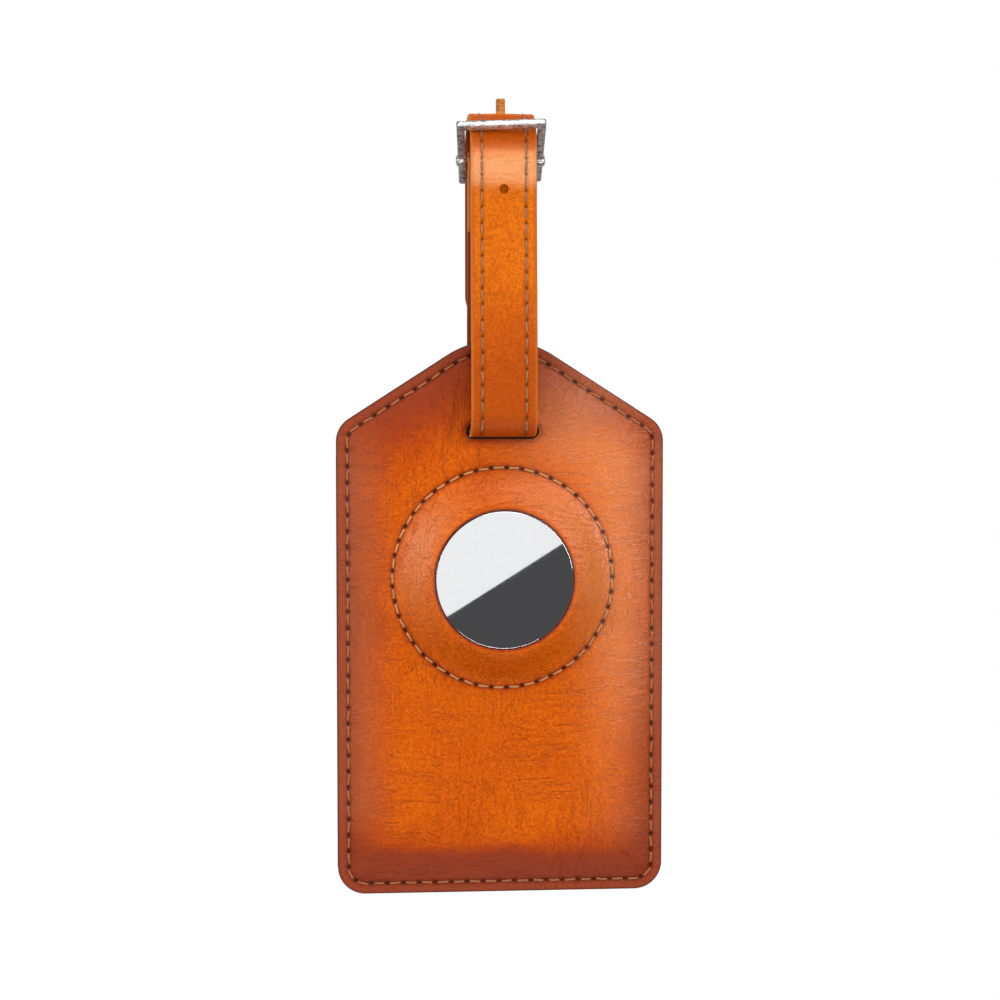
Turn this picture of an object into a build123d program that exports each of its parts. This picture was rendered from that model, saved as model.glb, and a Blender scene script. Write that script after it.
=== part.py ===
from build123d import *
import os
from math import cos, pi, radians, sin, sqrt, tan

# A leather luggage tag that carries a finder disc, on a buckled strap. Sizes in mm.
# It is drawn with Z = 0 at the bottom edge of the tag, the front facing -Y and Y = 0 on the glue line
# between the front and back panels, then lowered so that the origin lies in the strap's loop.
os.makedirs("parts", exist_ok=True)

# ------------------------------------------------------------------ tag body
TAG_WIDTH = 60.0
SHOULDER_RISE = 0.8          # slot to where the straight sides meet the roof slopes
ROOF_PITCH = 32.7            # degrees from level
APEX_RADIUS = 18.0
SHOULDER_RADIUS = 5.0
BOTTOM_RADIUS = 5.1
FRONT_LEATHER = 1.4
BACK_LEATHER = 1.2
BOARD = 1.0                  # stiffener, which raises the middle of the front panel
PILLOW_INSET = 2.7           # edge to the foot of the raised middle
PILLOW_ROUND = 0.85
BOARD_INSET = 4.6
BOARD_CLEARANCE = 0.1
EDGE_ROUND = 0.45

SLOT_X = 0.3
SLOT_RISE = 2.75             # card pocket to slot
SLOT_LENGTH = 13.4
SLOT_HEIGHT = 2.9

# ------------------------------------------------------------------ finder disc and its dome
DISC_X = 0.3
DISC_Z = 58.4
DISC_RADIUS = 15.95
DISC_THICKNESS = 8.0
DISC_CLEARANCE = 0.35        # disc edge to board
BACK_BORE_LAP = 0.95         # disc's widest edge past the bore in the back panel
DISC_END_PLAY = 0.1
WINDOW_LAP = 3.25            # disc edge past the window in the dome
DOME_HEIGHT = 4.8            # above the raised middle
DOME_SPREAD = 3.45           # disc edge to the foot of the dome
DOME_RIM = 0.7               # flat rim round the window
RING_SEAM_GAP = 0.8          # foot of the dome to the ring seam
LINING_PATCH_LAP = 3.0       # round the bore in the back panel
LINING_PATCH = 0.4
LOADING_SLIT_LENGTH = 30.0
LOADING_SLIT_WIDTH = 0.6

COVER_GAP = 0.25             # cover to window rim
COVER_SHEET = 0.4
COVER_ROUND = 0.9
COVER_DEPTH = 2.6
SHELL_WALL = 0.9
SHELL_SHOULDER = 1.4         # the white shell's rim lies this far below the cover's face
SHELL_LIP = 0.55
SHELL_FLAT = 0.62            # share of the disc's radius that is flat at the back
SHELL_TURN_IN = 1.1          # the rounded edge comes in this far at the front
SHELL_RIM_SLOPE = 0.55       # of the rounded edge where it meets the rim
SHELL_STEP = 1.0             # thicker side wall behind the rounded edge
SHELL_CHAMFER = 0.6
SHELL_FLOOR_RISE = 1.2
SHELL_FLOOR_TURN = 1.6
LUG_REACH = 0.9
LUG_HEIGHT = 0.5
LUG_WIDTH = 3.0
LUG_COUNT = 3
LUG_CLEARANCE = 0.1
GATE_PLAY = 1.0              # gate wider than its lug
LUG_ANGLE = 30.0
GATE_ANGLE = 55.0            # the cover turns from the lugs' angle to the gates' to come off
CELL_ROOM = 2.05             # cover's skirt to the cell
CELL_THICKNESS = 3.2
CELL_CHAMFER = 0.25
CELL_GAP = 0.15              # cell to cover
GASKET = 0.4
TRAY_FLOOR = 0.7
TRAY_WALL = 0.8
TRAY_PLAY = 0.2
SPRING_SHEET = 0.2
SPRING_RISE = 0.6
SPRING_WIDTH = 1.6
SPRING_LENGTH = 5.0
SPRING_RING = 6.2            # disc's axis to the two outer springs
SPRING_ANGLES = (60.0, 240.0)
BOARD_PCB = 0.6
PCB_GAP = 0.65               # circuit board to the shell's wall
PCB_BORE_GAP = 0.3           # circuit board to the coil
CHIP_HEIGHT = 0.5
MAGNET_RADIUS = 2.8
COIL_WALL = 0.8
COIL_GAP = 0.3

# ------------------------------------------------------------------ card pocket
POCKET_HEAD = 0.4            # lining patch to the pocket's inner top
POCKET_MOUTH_INSET = 3.5     # right edge of the tag to the card's mouth
POCKET_LEATHER = 1.2
POCKET_DEPTH = 1.4
POCKET_WALL_INSET = 4.2      # stitched edge to the inside of the pocket
POCKET_STEP_INSET = 3.0      # stitched edge to the foot of the raised middle
POCKET_CORNER = 2.0
THUMB_RADIUS = 12.0
THUMB_DEPTH = 3.5            # of the thumb notch in the mouth
CARD_WINDOW_INSET = 10.0     # sides of the tag to the window
CARD_WINDOW_HEIGHT = 50.0
CARD_WINDOW_Z = 40.0
CARD_WINDOW_CORNER = 3.0
FILM = 0.25
FILM_OVERLAP = 3.5
CARD_SHOWS = 0.5             # of the card past the pocket's mouth
CARD_THICKNESS = 0.4
CARD_CORNER = 2.5
CARD_PLAY = 0.3

# ------------------------------------------------------------------ strap
STRAP_WIDTH = 12.0
STRAP_X = 0.3
STRAP_LEATHER = 1.1
STRAP_LINING = 0.9
LEG_GAP = 2.2                # panel face to the leg beside it
FRONT_BOW_RISE = 13.8        # slot to where the front leg is furthest out
FRONT_STRAIGHT_DROP = 8.5    # crossbar to where the front leg comes upright
BACK_BOW_RISE = 19.8
BACK_STRAIGHT_DROP = 16.0
BOW_RADIUS = 28.0
BACK_BEND_RADIUS = 12.0
SLOT_BEND_EASE = 0.2         # the bend through the slot is this much tighter than the gap
FLAP_LENGTH = 13.0
FLAP_LEAN = 3.6              # below the crossbar, where the flap leaves the back leg
FLAP_CROSSING = 2.2          # rise over which it crosses to the bar's front
WRAP_BEND = 1.6
GLUE_GAP = 0.1
WRAP_PLAY = 0.05
ARC_RISE = 1.0               # the strap's top bend is centred this far above the crossbar
ARC_RADIUS = 6.4
TAIL_LENGTH = 31.5           # top bend to the tip
HOLE_PITCH = 16.0
HOLE_DIAMETER = 1.7
USED_HOLE_LENGTH = 3.6
PRONG_HOLE_PLAY = 0.5
PRONG_SLOT_WIDTH = 2.6
PRONG_SLOT_MARGIN = 0.4
PRONG_SLOT_RISE = 2.4

# ------------------------------------------------------------------ buckle
CROSSBAR_Y = 2.5
CROSSBAR_RISE = 49.3         # slot to crossbar
CROSSBAR_DIAMETER = 1.0
BUCKLE_LEAN = 45.0           # degrees, ring plane from level
BUCKLE_SKEW = 3.0            # degrees, the ring sits a little crooked on its crossbar
FRONT_REACH = 9.6            # crossbar to the middle of the front bar
REAR_REACH = 5.0
FRONT_WIDTH = 16.2
REAR_WIDTH = 15.2
END_BAR = 1.5
SIDE_BAR = 1.2
BAR_THICKNESS = 1.1
RING_CORNER = 1.2
RING_HEEL_CORNER = 1.6
RING_ROUND = 0.3
CLAMP_WALL = 0.4
CLAMP_LENGTH = 1.9
PRONG_WIDTH = 1.6
PRONG_THICKNESS = 1.1
PRONG_LENGTH = 11.2
PRONG_EYE_WALL = 0.55
PRONG_PLAY = 0.1

# ------------------------------------------------------------------ seams
SEAM_INSET = 2.0
THREAD = 0.62
THREAD_PROUD = 0.2
STRAP_THREAD_PROUD = 0.12
SEAM_GROOVE = 0.3
GROOVE_WIDTH = 0.9
TAG_PITCH = 2.95
RING_PITCH = 2.8
STRAP_PITCH = 2.6
STITCH_SHARE = 0.78          # of the pitch that shows as thread
STRAP_SEAM_INSET = 2.0
STRAP_SEAM_START = 1.0

# ------------------------------------------------------------------ origin
LOOP_RISE = 26.8             # slot to the middle of the strap's loop, where the origin goes

# ------------------------------------------------------------------ radii and widths that follow
BACK_BORE_RADIUS = DISC_RADIUS - BACK_BORE_LAP
WINDOW_RADIUS = DISC_RADIUS - WINDOW_LAP
DOME_FOOT_RADIUS = DISC_RADIUS + DOME_SPREAD
DOME_CROWN_RADIUS = WINDOW_RADIUS + DOME_RIM
RING_SEAM_RADIUS = DOME_FOOT_RADIUS + RING_SEAM_GAP
LINING_PATCH_RADIUS = BACK_BORE_RADIUS + LINING_PATCH_LAP
COVER_RADIUS = WINDOW_RADIUS - COVER_GAP
CELL_RADIUS = COVER_RADIUS - COVER_SHEET - CELL_ROOM
SHELL_INNER_RADIUS = DISC_RADIUS - SHELL_WALL - SHELL_STEP
PCB_RADIUS = SHELL_INNER_RADIUS - PCB_GAP
PCB_BORE = MAGNET_RADIUS + COIL_GAP + COIL_WALL + PCB_BORE_GAP
POCKET_RIGHT = TAG_WIDTH / 2 - POCKET_MOUTH_INSET
CARD_WINDOW_WIDTH = TAG_WIDTH - 2 * CARD_WINDOW_INSET

# ------------------------------------------------------------------ levels along Z
POCKET_TOP_Z = DISC_Z + LINING_PATCH_RADIUS + POCKET_HEAD + POCKET_WALL_INSET
SLOT_Z = POCKET_TOP_Z + SLOT_RISE + SLOT_HEIGHT / 2
SHOULDER_Z = SLOT_Z + SHOULDER_RISE
CROSSBAR_Z = SLOT_Z + CROSSBAR_RISE
ARC_Z = CROSSBAR_Z + ARC_RISE
TAIL_TIP_Z = ARC_Z - TAIL_LENGTH
LOOP_Z = SLOT_Z + LOOP_RISE
CARD_LEFT = -TAG_WIDTH / 2 + POCKET_WALL_INSET + CARD_PLAY
CARD_FLOOR_Z = POCKET_WALL_INSET + CARD_PLAY
CARD_WIDTH = POCKET_RIGHT + CARD_SHOWS - CARD_LEFT
CARD_HEIGHT = POCKET_TOP_Z - 2 * CARD_FLOOR_Z

# ------------------------------------------------------------------ levels along Y
BORDER_Y = -FRONT_LEATHER
PILLOW_Y = BORDER_Y - BOARD
DOME_Y = PILLOW_Y - DOME_HEIGHT
BACK_Y = BACK_LEATHER
LINING_Y = BACK_Y + LINING_PATCH
POCKET_EDGE_Y = BACK_Y + POCKET_LEATHER
POCKET_INSIDE_Y = BACK_Y + POCKET_DEPTH
POCKET_FACE_Y = POCKET_INSIDE_Y + POCKET_LEATHER
DISC_BACK_Y = BACK_Y - DISC_END_PLAY
DISC_FACE_Y = DISC_BACK_Y - DISC_THICKNESS
SHELL_RIM_Y = DISC_FACE_Y + SHELL_SHOULDER
COVER_EDGE_Y = DISC_FACE_Y + COVER_DEPTH
CELL_FRONT_Y = DISC_FACE_Y + COVER_SHEET + CELL_GAP
CELL_BACK_Y = CELL_FRONT_Y + CELL_THICKNESS
TRAY_FLOOR_Y = CELL_BACK_Y + SPRING_RISE
TRAY_BACK_Y = TRAY_FLOOR_Y + TRAY_FLOOR
PCB_BACK_Y = TRAY_BACK_Y + BOARD_PCB
SHELL_INSIDE_Y = DISC_BACK_Y - SHELL_WALL
STRAP_THICKNESS = STRAP_LEATHER + STRAP_LINING
WRAP_RADIUS = CROSSBAR_DIAMETER / 2 + WRAP_PLAY


# ------------------------------------------------------------------ helpers
def slab(sketch, front, back):
    """Extrude a sketch drawn in X and Z between two levels of Y."""
    return extrude(Plane.XZ.offset(-back) * sketch, back - front)


def turned(profile):
    """Revolve a profile of (radius, Y) points about the finder disc's axis."""
    return Pos(DISC_X, 0, DISC_Z) * revolve(Plane.XY * profile, Axis.Y)


def tube(outer, inner, front, back):
    """Ring about the disc's axis between two levels of Y; inner = 0 makes a plain disc."""
    ring = Circle(outer) - Circle(inner) if inner else Circle(outer)
    return slab(Pos(DISC_X, DISC_Z) * ring, front, back)


def export(name, *solids):
    """Write one node, its solids kept apart, lowered so that the origin lies in the loop."""
    pieces = [solid for shape in solids for solid in shape.solids()]
    lowered = [Pos(0, 0, -LOOP_Z) * piece for piece in pieces]
    export_step(Compound(children=lowered) if len(lowered) > 1 else lowered[0], f"parts/{name}.step")


def stitches_along(path, pitch, keep=lambda spot: True):
    """Round-ended stitches, as a sketch, at an even pitch along a flat path."""
    count = round(path.length / pitch)
    step = path.length / count
    stitch = SlotOverall(step * STITCH_SHARE, THREAD)
    marks = []
    for i in range(count):
        along = (i + 0.5) / count
        spot = path.position_at(along)
        if keep(spot):
            marks.append(Pos(spot.X, spot.Y) * Rot(0, 0, path.tangent_angle_at(along)) * stitch)
    return Sketch() + marks


# ------------------------------------------------------------------ tag body
def tag_outline(inset=0.0):
    """House-shaped outline with rounded corners, in X and Z, drawn in by inset."""
    half = TAG_WIDTH / 2
    peak = SHOULDER_Z + half * tan(radians(ROOF_PITCH))
    house = Polygon((-half, 0), (half, 0), (half, SHOULDER_Z), (0, peak), (-half, SHOULDER_Z), align=None)
    rows = house.vertices().group_by(Axis.Y)
    house = fillet(rows[0], BOTTOM_RADIUS)
    house = fillet(house.vertices().filter_by_position(Axis.Y, SHOULDER_Z - 0.1, SHOULDER_Z + 0.1),
                   SHOULDER_RADIUS)
    house = fillet(house.vertices().sort_by(Axis.Y)[-1], APEX_RADIUS)
    return offset(house, -inset) if inset else house


def strap_slot(clearance=0.0):
    """Round-ended slot that the strap passes through."""
    return Pos(SLOT_X, SLOT_Z) * SlotOverall(SLOT_LENGTH + 2 * clearance, SLOT_HEIGHT + 2 * clearance)


def seam_groove(front, back):
    """Shallow groove that follows the outline, for the perimeter seam."""
    half = GROOVE_WIDTH / 2
    return slab(tag_outline(SEAM_INSET - half) - tag_outline(SEAM_INSET + half), front, back)


def dome_profile():
    """Section of the dome: an elliptical swell from its foot up to the window's rim."""
    width = DOME_FOOT_RADIUS - DOME_CROWN_RADIUS
    centre = (DOME_CROWN_RADIUS, PILLOW_Y)
    inner_width = width - FRONT_LEATHER
    inner_height = DOME_HEIGHT - FRONT_LEATHER
    under = DOME_Y + FRONT_LEATHER
    outer = EllipticalCenterArc(centre, width, DOME_HEIGHT, start_angle=270, arc_size=90)
    inner = EllipticalCenterArc(centre, inner_width, inner_height, start_angle=270, arc_size=90)
    foot = Polyline((DOME_FOOT_RADIUS, PILLOW_Y), (DOME_FOOT_RADIUS, -BOARD),
                    (DOME_CROWN_RADIUS + inner_width, -BOARD), (DOME_CROWN_RADIUS + inner_width, PILLOW_Y))
    rim = Polyline((DOME_CROWN_RADIUS, under), (WINDOW_RADIUS, under), (WINDOW_RADIUS, DOME_Y),
                   (DOME_CROWN_RADIUS, DOME_Y))
    return make_face(outer.edges() + foot.edges() + inner.edges() + rim.edges())


def make_front_panel():
    """Leather face: flat stitched border, raised middle over the board, dome over the disc."""
    border = slab(tag_outline(), BORDER_Y, 0)
    border = fillet(border.faces().sort_by(Axis.Y)[0].edges(), EDGE_ROUND)
    middle = slab(tag_outline(PILLOW_INSET), PILLOW_Y, BORDER_Y)
    middle = fillet(middle.faces().sort_by(Axis.Y)[0].edges(), PILLOW_ROUND)
    panel = border + middle
    panel -= slab(tag_outline(BOARD_INSET), -BOARD, 0)
    panel -= tube(DOME_FOOT_RADIUS, 0, PILLOW_Y, 0)
    panel += turned(dome_profile())
    panel -= slab(strap_slot(), PILLOW_Y, 0)
    panel -= seam_groove(BORDER_Y, BORDER_Y + SEAM_GROOVE)
    half = GROOVE_WIDTH / 2
    panel -= tube(RING_SEAM_RADIUS + half, RING_SEAM_RADIUS - half, PILLOW_Y, PILLOW_Y + SEAM_GROOVE)
    return panel


def make_stiffener_board():
    """Card stiffener inside the raised middle, bored for the disc."""
    board = tag_outline(BOARD_INSET + BOARD_CLEARANCE) - strap_slot()
    board -= Pos(DISC_X, DISC_Z) * Circle(DISC_RADIUS + DISC_CLEARANCE)
    return slab(board, -BOARD, 0)


def make_back_panel():
    """Rear leather, bored for the disc, which the lining patch then holds in."""
    panel = slab(tag_outline(), 0, BACK_Y)
    rim = panel.faces().sort_by(Axis.Y)[-1].edges()
    panel = fillet(rim, EDGE_ROUND)
    panel -= slab(strap_slot(), 0, BACK_Y)
    panel -= seam_groove(BACK_Y - SEAM_GROOVE, BACK_Y)
    panel += slab(pocket_region(0), BACK_Y - SEAM_GROOVE, BACK_Y)
    return panel - tube(BACK_BORE_RADIUS, 0, 0, BACK_Y)


def make_lining_patch():
    """Cloth patch behind the disc, slit so that the disc can be pushed out."""
    patch = Pos(DISC_X, DISC_Z) * (Circle(LINING_PATCH_RADIUS)
                                   - SlotOverall(LOADING_SLIT_LENGTH, LOADING_SLIT_WIDTH))
    return slab(patch, BACK_Y, LINING_Y)


# ------------------------------------------------------------------ card pocket
def pocket_region(inset):
    """The part of the outline that the pocket covers; its right edge, the mouth, is never drawn in."""
    left = -TAG_WIDTH / 2 + inset
    top = POCKET_TOP_Z - inset
    region = Polygon((left, inset), (POCKET_RIGHT, inset), (POCKET_RIGHT, top), (left, top), align=None)
    lower = region.vertices().group_by(Axis.Y)[0].sort_by(Axis.X)[0]
    return fillet(lower, BOTTOM_RADIUS - inset) & tag_outline()


def card_window(margin=0.0):
    return Pos(0, CARD_WINDOW_Z) * RectangleRounded(
        CARD_WINDOW_WIDTH + 2 * margin, CARD_WINDOW_HEIGHT + 2 * margin, CARD_WINDOW_CORNER)


def make_card_pocket():
    """Rear pocket for the address card: three stitched edges, a raised middle and a mouth at +X."""
    edge = slab(pocket_region(0), BACK_Y, POCKET_EDGE_Y)
    middle = slab(pocket_region(POCKET_STEP_INSET), POCKET_EDGE_Y, POCKET_FACE_Y)
    pocket = edge + middle
    pocket -= slab(pocket_region(POCKET_WALL_INSET), BACK_Y, POCKET_INSIDE_Y)
    pocket -= slab(card_window(), POCKET_INSIDE_Y, POCKET_FACE_Y)
    thumb = Pos(POCKET_RIGHT + THUMB_RADIUS - THUMB_DEPTH, CARD_WINDOW_Z) * Circle(THUMB_RADIUS)
    pocket -= slab(thumb, POCKET_INSIDE_Y, POCKET_FACE_Y)
    pocket -= seam_groove(POCKET_EDGE_Y - SEAM_GROOVE, POCKET_EDGE_Y)
    return pocket


def make_window_film():
    return slab(card_window(FILM_OVERLAP), POCKET_INSIDE_Y - FILM, POCKET_INSIDE_Y)


def make_address_card():
    """Blank card that slides out through the mouth."""
    card = Pos(CARD_LEFT + CARD_WIDTH / 2, CARD_FLOOR_Z + CARD_HEIGHT / 2) * RectangleRounded(
        CARD_WIDTH, CARD_HEIGHT, CARD_CORNER)
    middle_y = (LINING_Y + POCKET_INSIDE_Y - FILM) / 2
    return slab(card, middle_y - CARD_THICKNESS / 2, middle_y + CARD_THICKNESS / 2)


# ------------------------------------------------------------------ finder disc
def make_disc_shell():
    """White shell: domed back, rounded edge, and a lip over the cover's lugs."""
    seat = COVER_RADIUS + LUG_CLEARANCE
    groove = COVER_RADIUS + LUG_REACH + LUG_CLEARANCE
    lip_y = SHELL_RIM_Y + SHELL_LIP
    groove_y = lip_y + LUG_HEIGHT + 2 * LUG_CLEARANCE
    floor_edge = SHELL_INSIDE_Y - SHELL_FLOOR_RISE
    back = [(0, DISC_BACK_Y), (DISC_RADIUS * SHELL_FLAT, DISC_BACK_Y)]
    edge = (DISC_RADIUS, (DISC_BACK_Y + SHELL_RIM_Y) / 2)
    rim = (DISC_RADIUS - SHELL_TURN_IN, SHELL_RIM_Y)
    outer = Spline(back[1], edge, rim, tangents=[(1, 0), (0, -1), (-1, -SHELL_RIM_SLOPE)])
    hollow = Polyline(rim, (seat, SHELL_RIM_Y), (seat, lip_y), (groove, lip_y),
                      (groove, groove_y), (seat + SHELL_CHAMFER, groove_y),
                      (SHELL_INNER_RADIUS, groove_y + SHELL_CHAMFER), (SHELL_INNER_RADIUS, floor_edge),
                      (SHELL_INNER_RADIUS - SHELL_FLOOR_TURN, SHELL_INSIDE_Y),
                      (0, SHELL_INSIDE_Y), back[0], back[1])
    shell = turned(make_face(outer.edges() + hollow.edges()))
    gate_width = LUG_WIDTH + 2 * LUG_CLEARANCE + GATE_PLAY
    for i in range(LUG_COUNT):
        notch = Pos(0, seat) * Rectangle(gate_width, 2 * LUG_REACH + LUG_CLEARANCE)
        gate = Pos(DISC_X, DISC_Z) * Rot(0, 0, 360 / LUG_COUNT * i + GATE_ANGLE) * notch
        shell -= slab(gate, SHELL_RIM_Y, lip_y)
    return shell


def make_disc_cover():
    """Polished steel battery cover: a shallow cup with bayonet lugs."""
    cup = tube(COVER_RADIUS, 0, DISC_FACE_Y, COVER_EDGE_Y)
    cup = fillet(cup.faces().sort_by(Axis.Y)[0].edges(), COVER_ROUND)
    cup -= tube(COVER_RADIUS - COVER_SHEET, 0, DISC_FACE_Y + COVER_SHEET, COVER_EDGE_Y)
    lug_y = SHELL_RIM_Y + SHELL_LIP + LUG_CLEARANCE
    for i in range(LUG_COUNT):
        block = Pos(0, COVER_RADIUS + LUG_REACH / 2 - COVER_SHEET / 2) * Rectangle(
            LUG_WIDTH, LUG_REACH + COVER_SHEET)
        block = Rot(0, 0, 360 / LUG_COUNT * i + LUG_ANGLE) * block
        block = block & Circle(COVER_RADIUS + LUG_REACH)
        cup += slab(Pos(DISC_X, DISC_Z) * block, lug_y, lug_y + LUG_HEIGHT)
    return cup


def make_coin_cell():
    cell = tube(CELL_RADIUS, 0, CELL_FRONT_Y, CELL_BACK_Y)
    return chamfer(cell.edges(), CELL_CHAMFER)


def make_cell_tray():
    """Inner plastic tray: floor under the springs and a wall round the coin cell."""
    bore = CELL_RADIUS + TRAY_PLAY
    tray = tube(bore + TRAY_WALL, 0, TRAY_FLOOR_Y, TRAY_BACK_Y)
    return tray + tube(bore + TRAY_WALL, bore, CELL_FRONT_Y + COVER_ROUND, TRAY_FLOOR_Y)


def make_contact_springs():
    """Three arched leaf contacts between the tray's floor and the cell."""
    leaf = ThreePointArc((-SPRING_LENGTH / 2, 0), (0, -(SPRING_RISE - SPRING_SHEET)), (SPRING_LENGTH / 2, 0))
    section = make_face(leaf.offset_2d(SPRING_SHEET, side=Side.RIGHT).edges())
    strip = extrude(section, SPRING_WIDTH / 2, both=True)
    strip = Pos(0, TRAY_FLOOR_Y - section.bounding_box().max.Y, 0) * strip
    around = [(SPRING_RING * cos(radians(a)), SPRING_RING * sin(radians(a))) for a in SPRING_ANGLES]
    return [Pos(DISC_X + x, 0, DISC_Z + z) * strip for x, z in [(0, 0)] + around]


def make_circuit_board():
    return tube(PCB_RADIUS, PCB_BORE, TRAY_BACK_Y, PCB_BACK_Y)


def make_chips():
    """Radio and controller packages on the back of the circuit board."""
    sizes = [(4.0, 4.0, 20), (3.0, 3.0, 75), (2.2, 3.4, 130),
             (3.0, 2.4, 200), (1.8, 1.8, 245), (2.6, 2.6, 310)]
    ring = (PCB_RADIUS + PCB_BORE) / 2
    return [slab(Pos(DISC_X + ring * cos(radians(a)), DISC_Z + ring * sin(radians(a))) * Rectangle(w, h),
                 PCB_BACK_Y, PCB_BACK_Y + CHIP_HEIGHT) for w, h, a in sizes]


def make_speaker_magnet():
    return tube(MAGNET_RADIUS, 0, TRAY_BACK_Y, SHELL_INSIDE_Y - COIL_GAP)


def make_speaker_coil():
    """Voice coil on the inside of the shell's back, round the magnet."""
    bore = MAGNET_RADIUS + COIL_GAP
    return tube(bore + COIL_WALL, bore, PCB_BACK_Y - BOARD_PCB / 2, SHELL_INSIDE_Y)


def make_gasket():
    """Seal ring between the cover's edge and the shell."""
    radius = COVER_RADIUS - COVER_SHEET
    return tube(radius + GASKET, radius - GASKET, COVER_EDGE_Y, COVER_EDGE_Y + GASKET)


# ------------------------------------------------------------------ strap
def strap_route(from_lining=False):
    """Glue line between the strap's two leathers, in Y and Z, from the stitched flap to the tail."""
    back = CROSSBAR_Y + WRAP_RADIUS
    flap = back - GLUE_GAP
    front_of_bar = CROSSBAR_Y - WRAP_RADIUS
    bow_back = BACK_Y + LEG_GAP + STRAP_LINING
    bow_front = PILLOW_Y - LEG_GAP - STRAP_LINING
    slot_line = SLOT_Z - STRAP_THICKNESS / 2 + STRAP_LEATHER
    bend = LEG_GAP + STRAP_LINING - SLOT_BEND_EASE
    flap_tip = CROSSBAR_Z - FLAP_LENGTH
    lean_end = CROSSBAR_Z - FLAP_LEAN
    front_top = CROSSBAR_Y - ARC_RADIUS
    tail = CROSSBAR_Y + ARC_RADIUS
    wrap = FilletPolyline((flap, flap_tip), (flap, lean_end), (front_of_bar, lean_end + FLAP_CROSSING),
                          (front_of_bar, CROSSBAR_Z), radius=WRAP_BEND)
    over_bar = CenterArc((CROSSBAR_Y, CROSSBAR_Z), WRAP_RADIUS, 180, -180)
    start = (back, flap_tip - GLUE_GAP) if from_lining else (back, CROSSBAR_Z)
    legs = FilletPolyline(start, (back, CROSSBAR_Z - BACK_STRAIGHT_DROP), (bow_back, SLOT_Z + BACK_BOW_RISE),
                          (bow_back, slot_line), (bow_front, slot_line), (bow_front, SLOT_Z + FRONT_BOW_RISE),
                          (front_top, CROSSBAR_Z - FRONT_STRAIGHT_DROP),
                          (front_top, ARC_Z), radius=[BACK_BEND_RADIUS, BOW_RADIUS, bend, bend,
                                                      BOW_RADIUS, BOW_RADIUS])
    top = CenterArc((CROSSBAR_Y, ARC_Z), ARC_RADIUS, 180, -180)
    end = Line((tail, ARC_Z), (tail, TAIL_TIP_Z))
    runs = [legs, top, end] if from_lining else [wrap, over_bar, legs, top, end]
    return Wire([edge for run in runs for edge in run.edges()])


def strap_section(route, thickness, hand):
    """Section on one side of the route: hand is 1 for the grain side and -1 for the lining side."""
    angle = radians(route.tangent_angle_at(0))
    middle = route.position_at(0) + Vector(-sin(angle), cos(angle)) * hand * thickness / 2
    sides = [make_face(route.offset_2d(thickness, side=side).edges()) for side in (Side.LEFT, Side.RIGHT)]
    return min(sides, key=lambda face: face.distance_to(Vertex(*middle)))


def strap_band(route, thickness, hand):
    """Give the section the strap's width and cut the tail's round tip."""
    band = extrude(Plane.YZ * strap_section(route, thickness, hand), STRAP_WIDTH / 2, both=True)
    return Pos(STRAP_X, 0, 0) * (band - tail_corners())


def tail_corners():
    """What is cut from the tail to leave its round tip."""
    half = STRAP_WIDTH / 2
    block = Pos(0, TAIL_TIP_Z + half / 2) * Rectangle(STRAP_WIDTH, half)
    block -= Pos(0, TAIL_TIP_Z + half) * Circle(half)
    middle = CROSSBAR_Y + ARC_RADIUS
    return slab(block, middle - STRAP_THICKNESS, middle + STRAP_THICKNESS)


def hole_cutters():
    """Round holes down the tail and front leg, and the longer one that the prong stands in."""
    quarter = ARC_RADIUS * pi / 2
    reach = 2 * STRAP_THICKNESS
    drop = HOLE_PITCH - quarter
    spots = [(CROSSBAR_Y - ARC_RADIUS, ARC_Z - drop), (CROSSBAR_Y + ARC_RADIUS, ARC_Z - drop),
             (CROSSBAR_Y + ARC_RADIUS, ARC_Z - drop - HOLE_PITCH)]
    cutters = [slab(Pos(STRAP_X, z) * Circle(HOLE_DIAMETER / 2), y - reach, y + reach) for y, z in spots]
    width = PRONG_WIDTH + PRONG_HOLE_PLAY
    used = Pos(STRAP_X, CROSSBAR_Y) * SlotOverall(USED_HOLE_LENGTH, width, rotation=90)
    cutters.append(extrude(Plane.XY.offset(ARC_Z + ARC_RADIUS - reach) * used, 2 * reach))
    return cutters


def make_strap_outer():
    """Grain leather, wrapped round the crossbar and stitched back on itself."""
    strap = strap_band(strap_route(), STRAP_LEATHER, 1)
    for cutter in hole_cutters():
        strap -= cutter
    wrap = 2 * (WRAP_RADIUS + STRAP_LEATHER)
    slot = Pos(STRAP_X, CROSSBAR_Y, CROSSBAR_Z) * Box(
        PRONG_SLOT_WIDTH, wrap + PRONG_SLOT_MARGIN, wrap + PRONG_SLOT_RISE)
    return strap - slot


def make_strap_lining():
    strap = strap_band(strap_route(True), STRAP_LINING, -1)
    for cutter in hole_cutters():
        strap -= cutter
    return strap


def sagitta(radius):
    """How far a straight stitch stands off the middle of a bend of this radius."""
    half = STRAP_PITCH * STITCH_SHARE / 2
    return radius - sqrt(radius ** 2 - half ** 2)


def strap_row(route, level, start, stop, lowest=0.0):
    """Two rows of stitches on one face of the strap, level being their distance from the glue line."""
    reach = stop - start
    count = round(reach / STRAP_PITCH)
    step = reach / count
    row = STRAP_WIDTH / 2 - STRAP_SEAM_INSET
    stitch = Box(THREAD, step * STITCH_SHARE, STRAP_THREAD_PROUD)
    marks = []
    for i in range(count):
        along = (start + (i + 0.5) * step) / route.length
        spot = route.position_at(along)
        degrees = route.tangent_angle_at(along)
        angle = radians(degrees)
        place = Pos(0, spot.X - sin(angle) * level, spot.Y + cos(angle) * level) * Rot(X=degrees)
        if spot.Y > lowest:
            marks += [Pos(STRAP_X + side * row, 0, 0) * place * stitch for side in (-1, 1)]
    return marks


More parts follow.
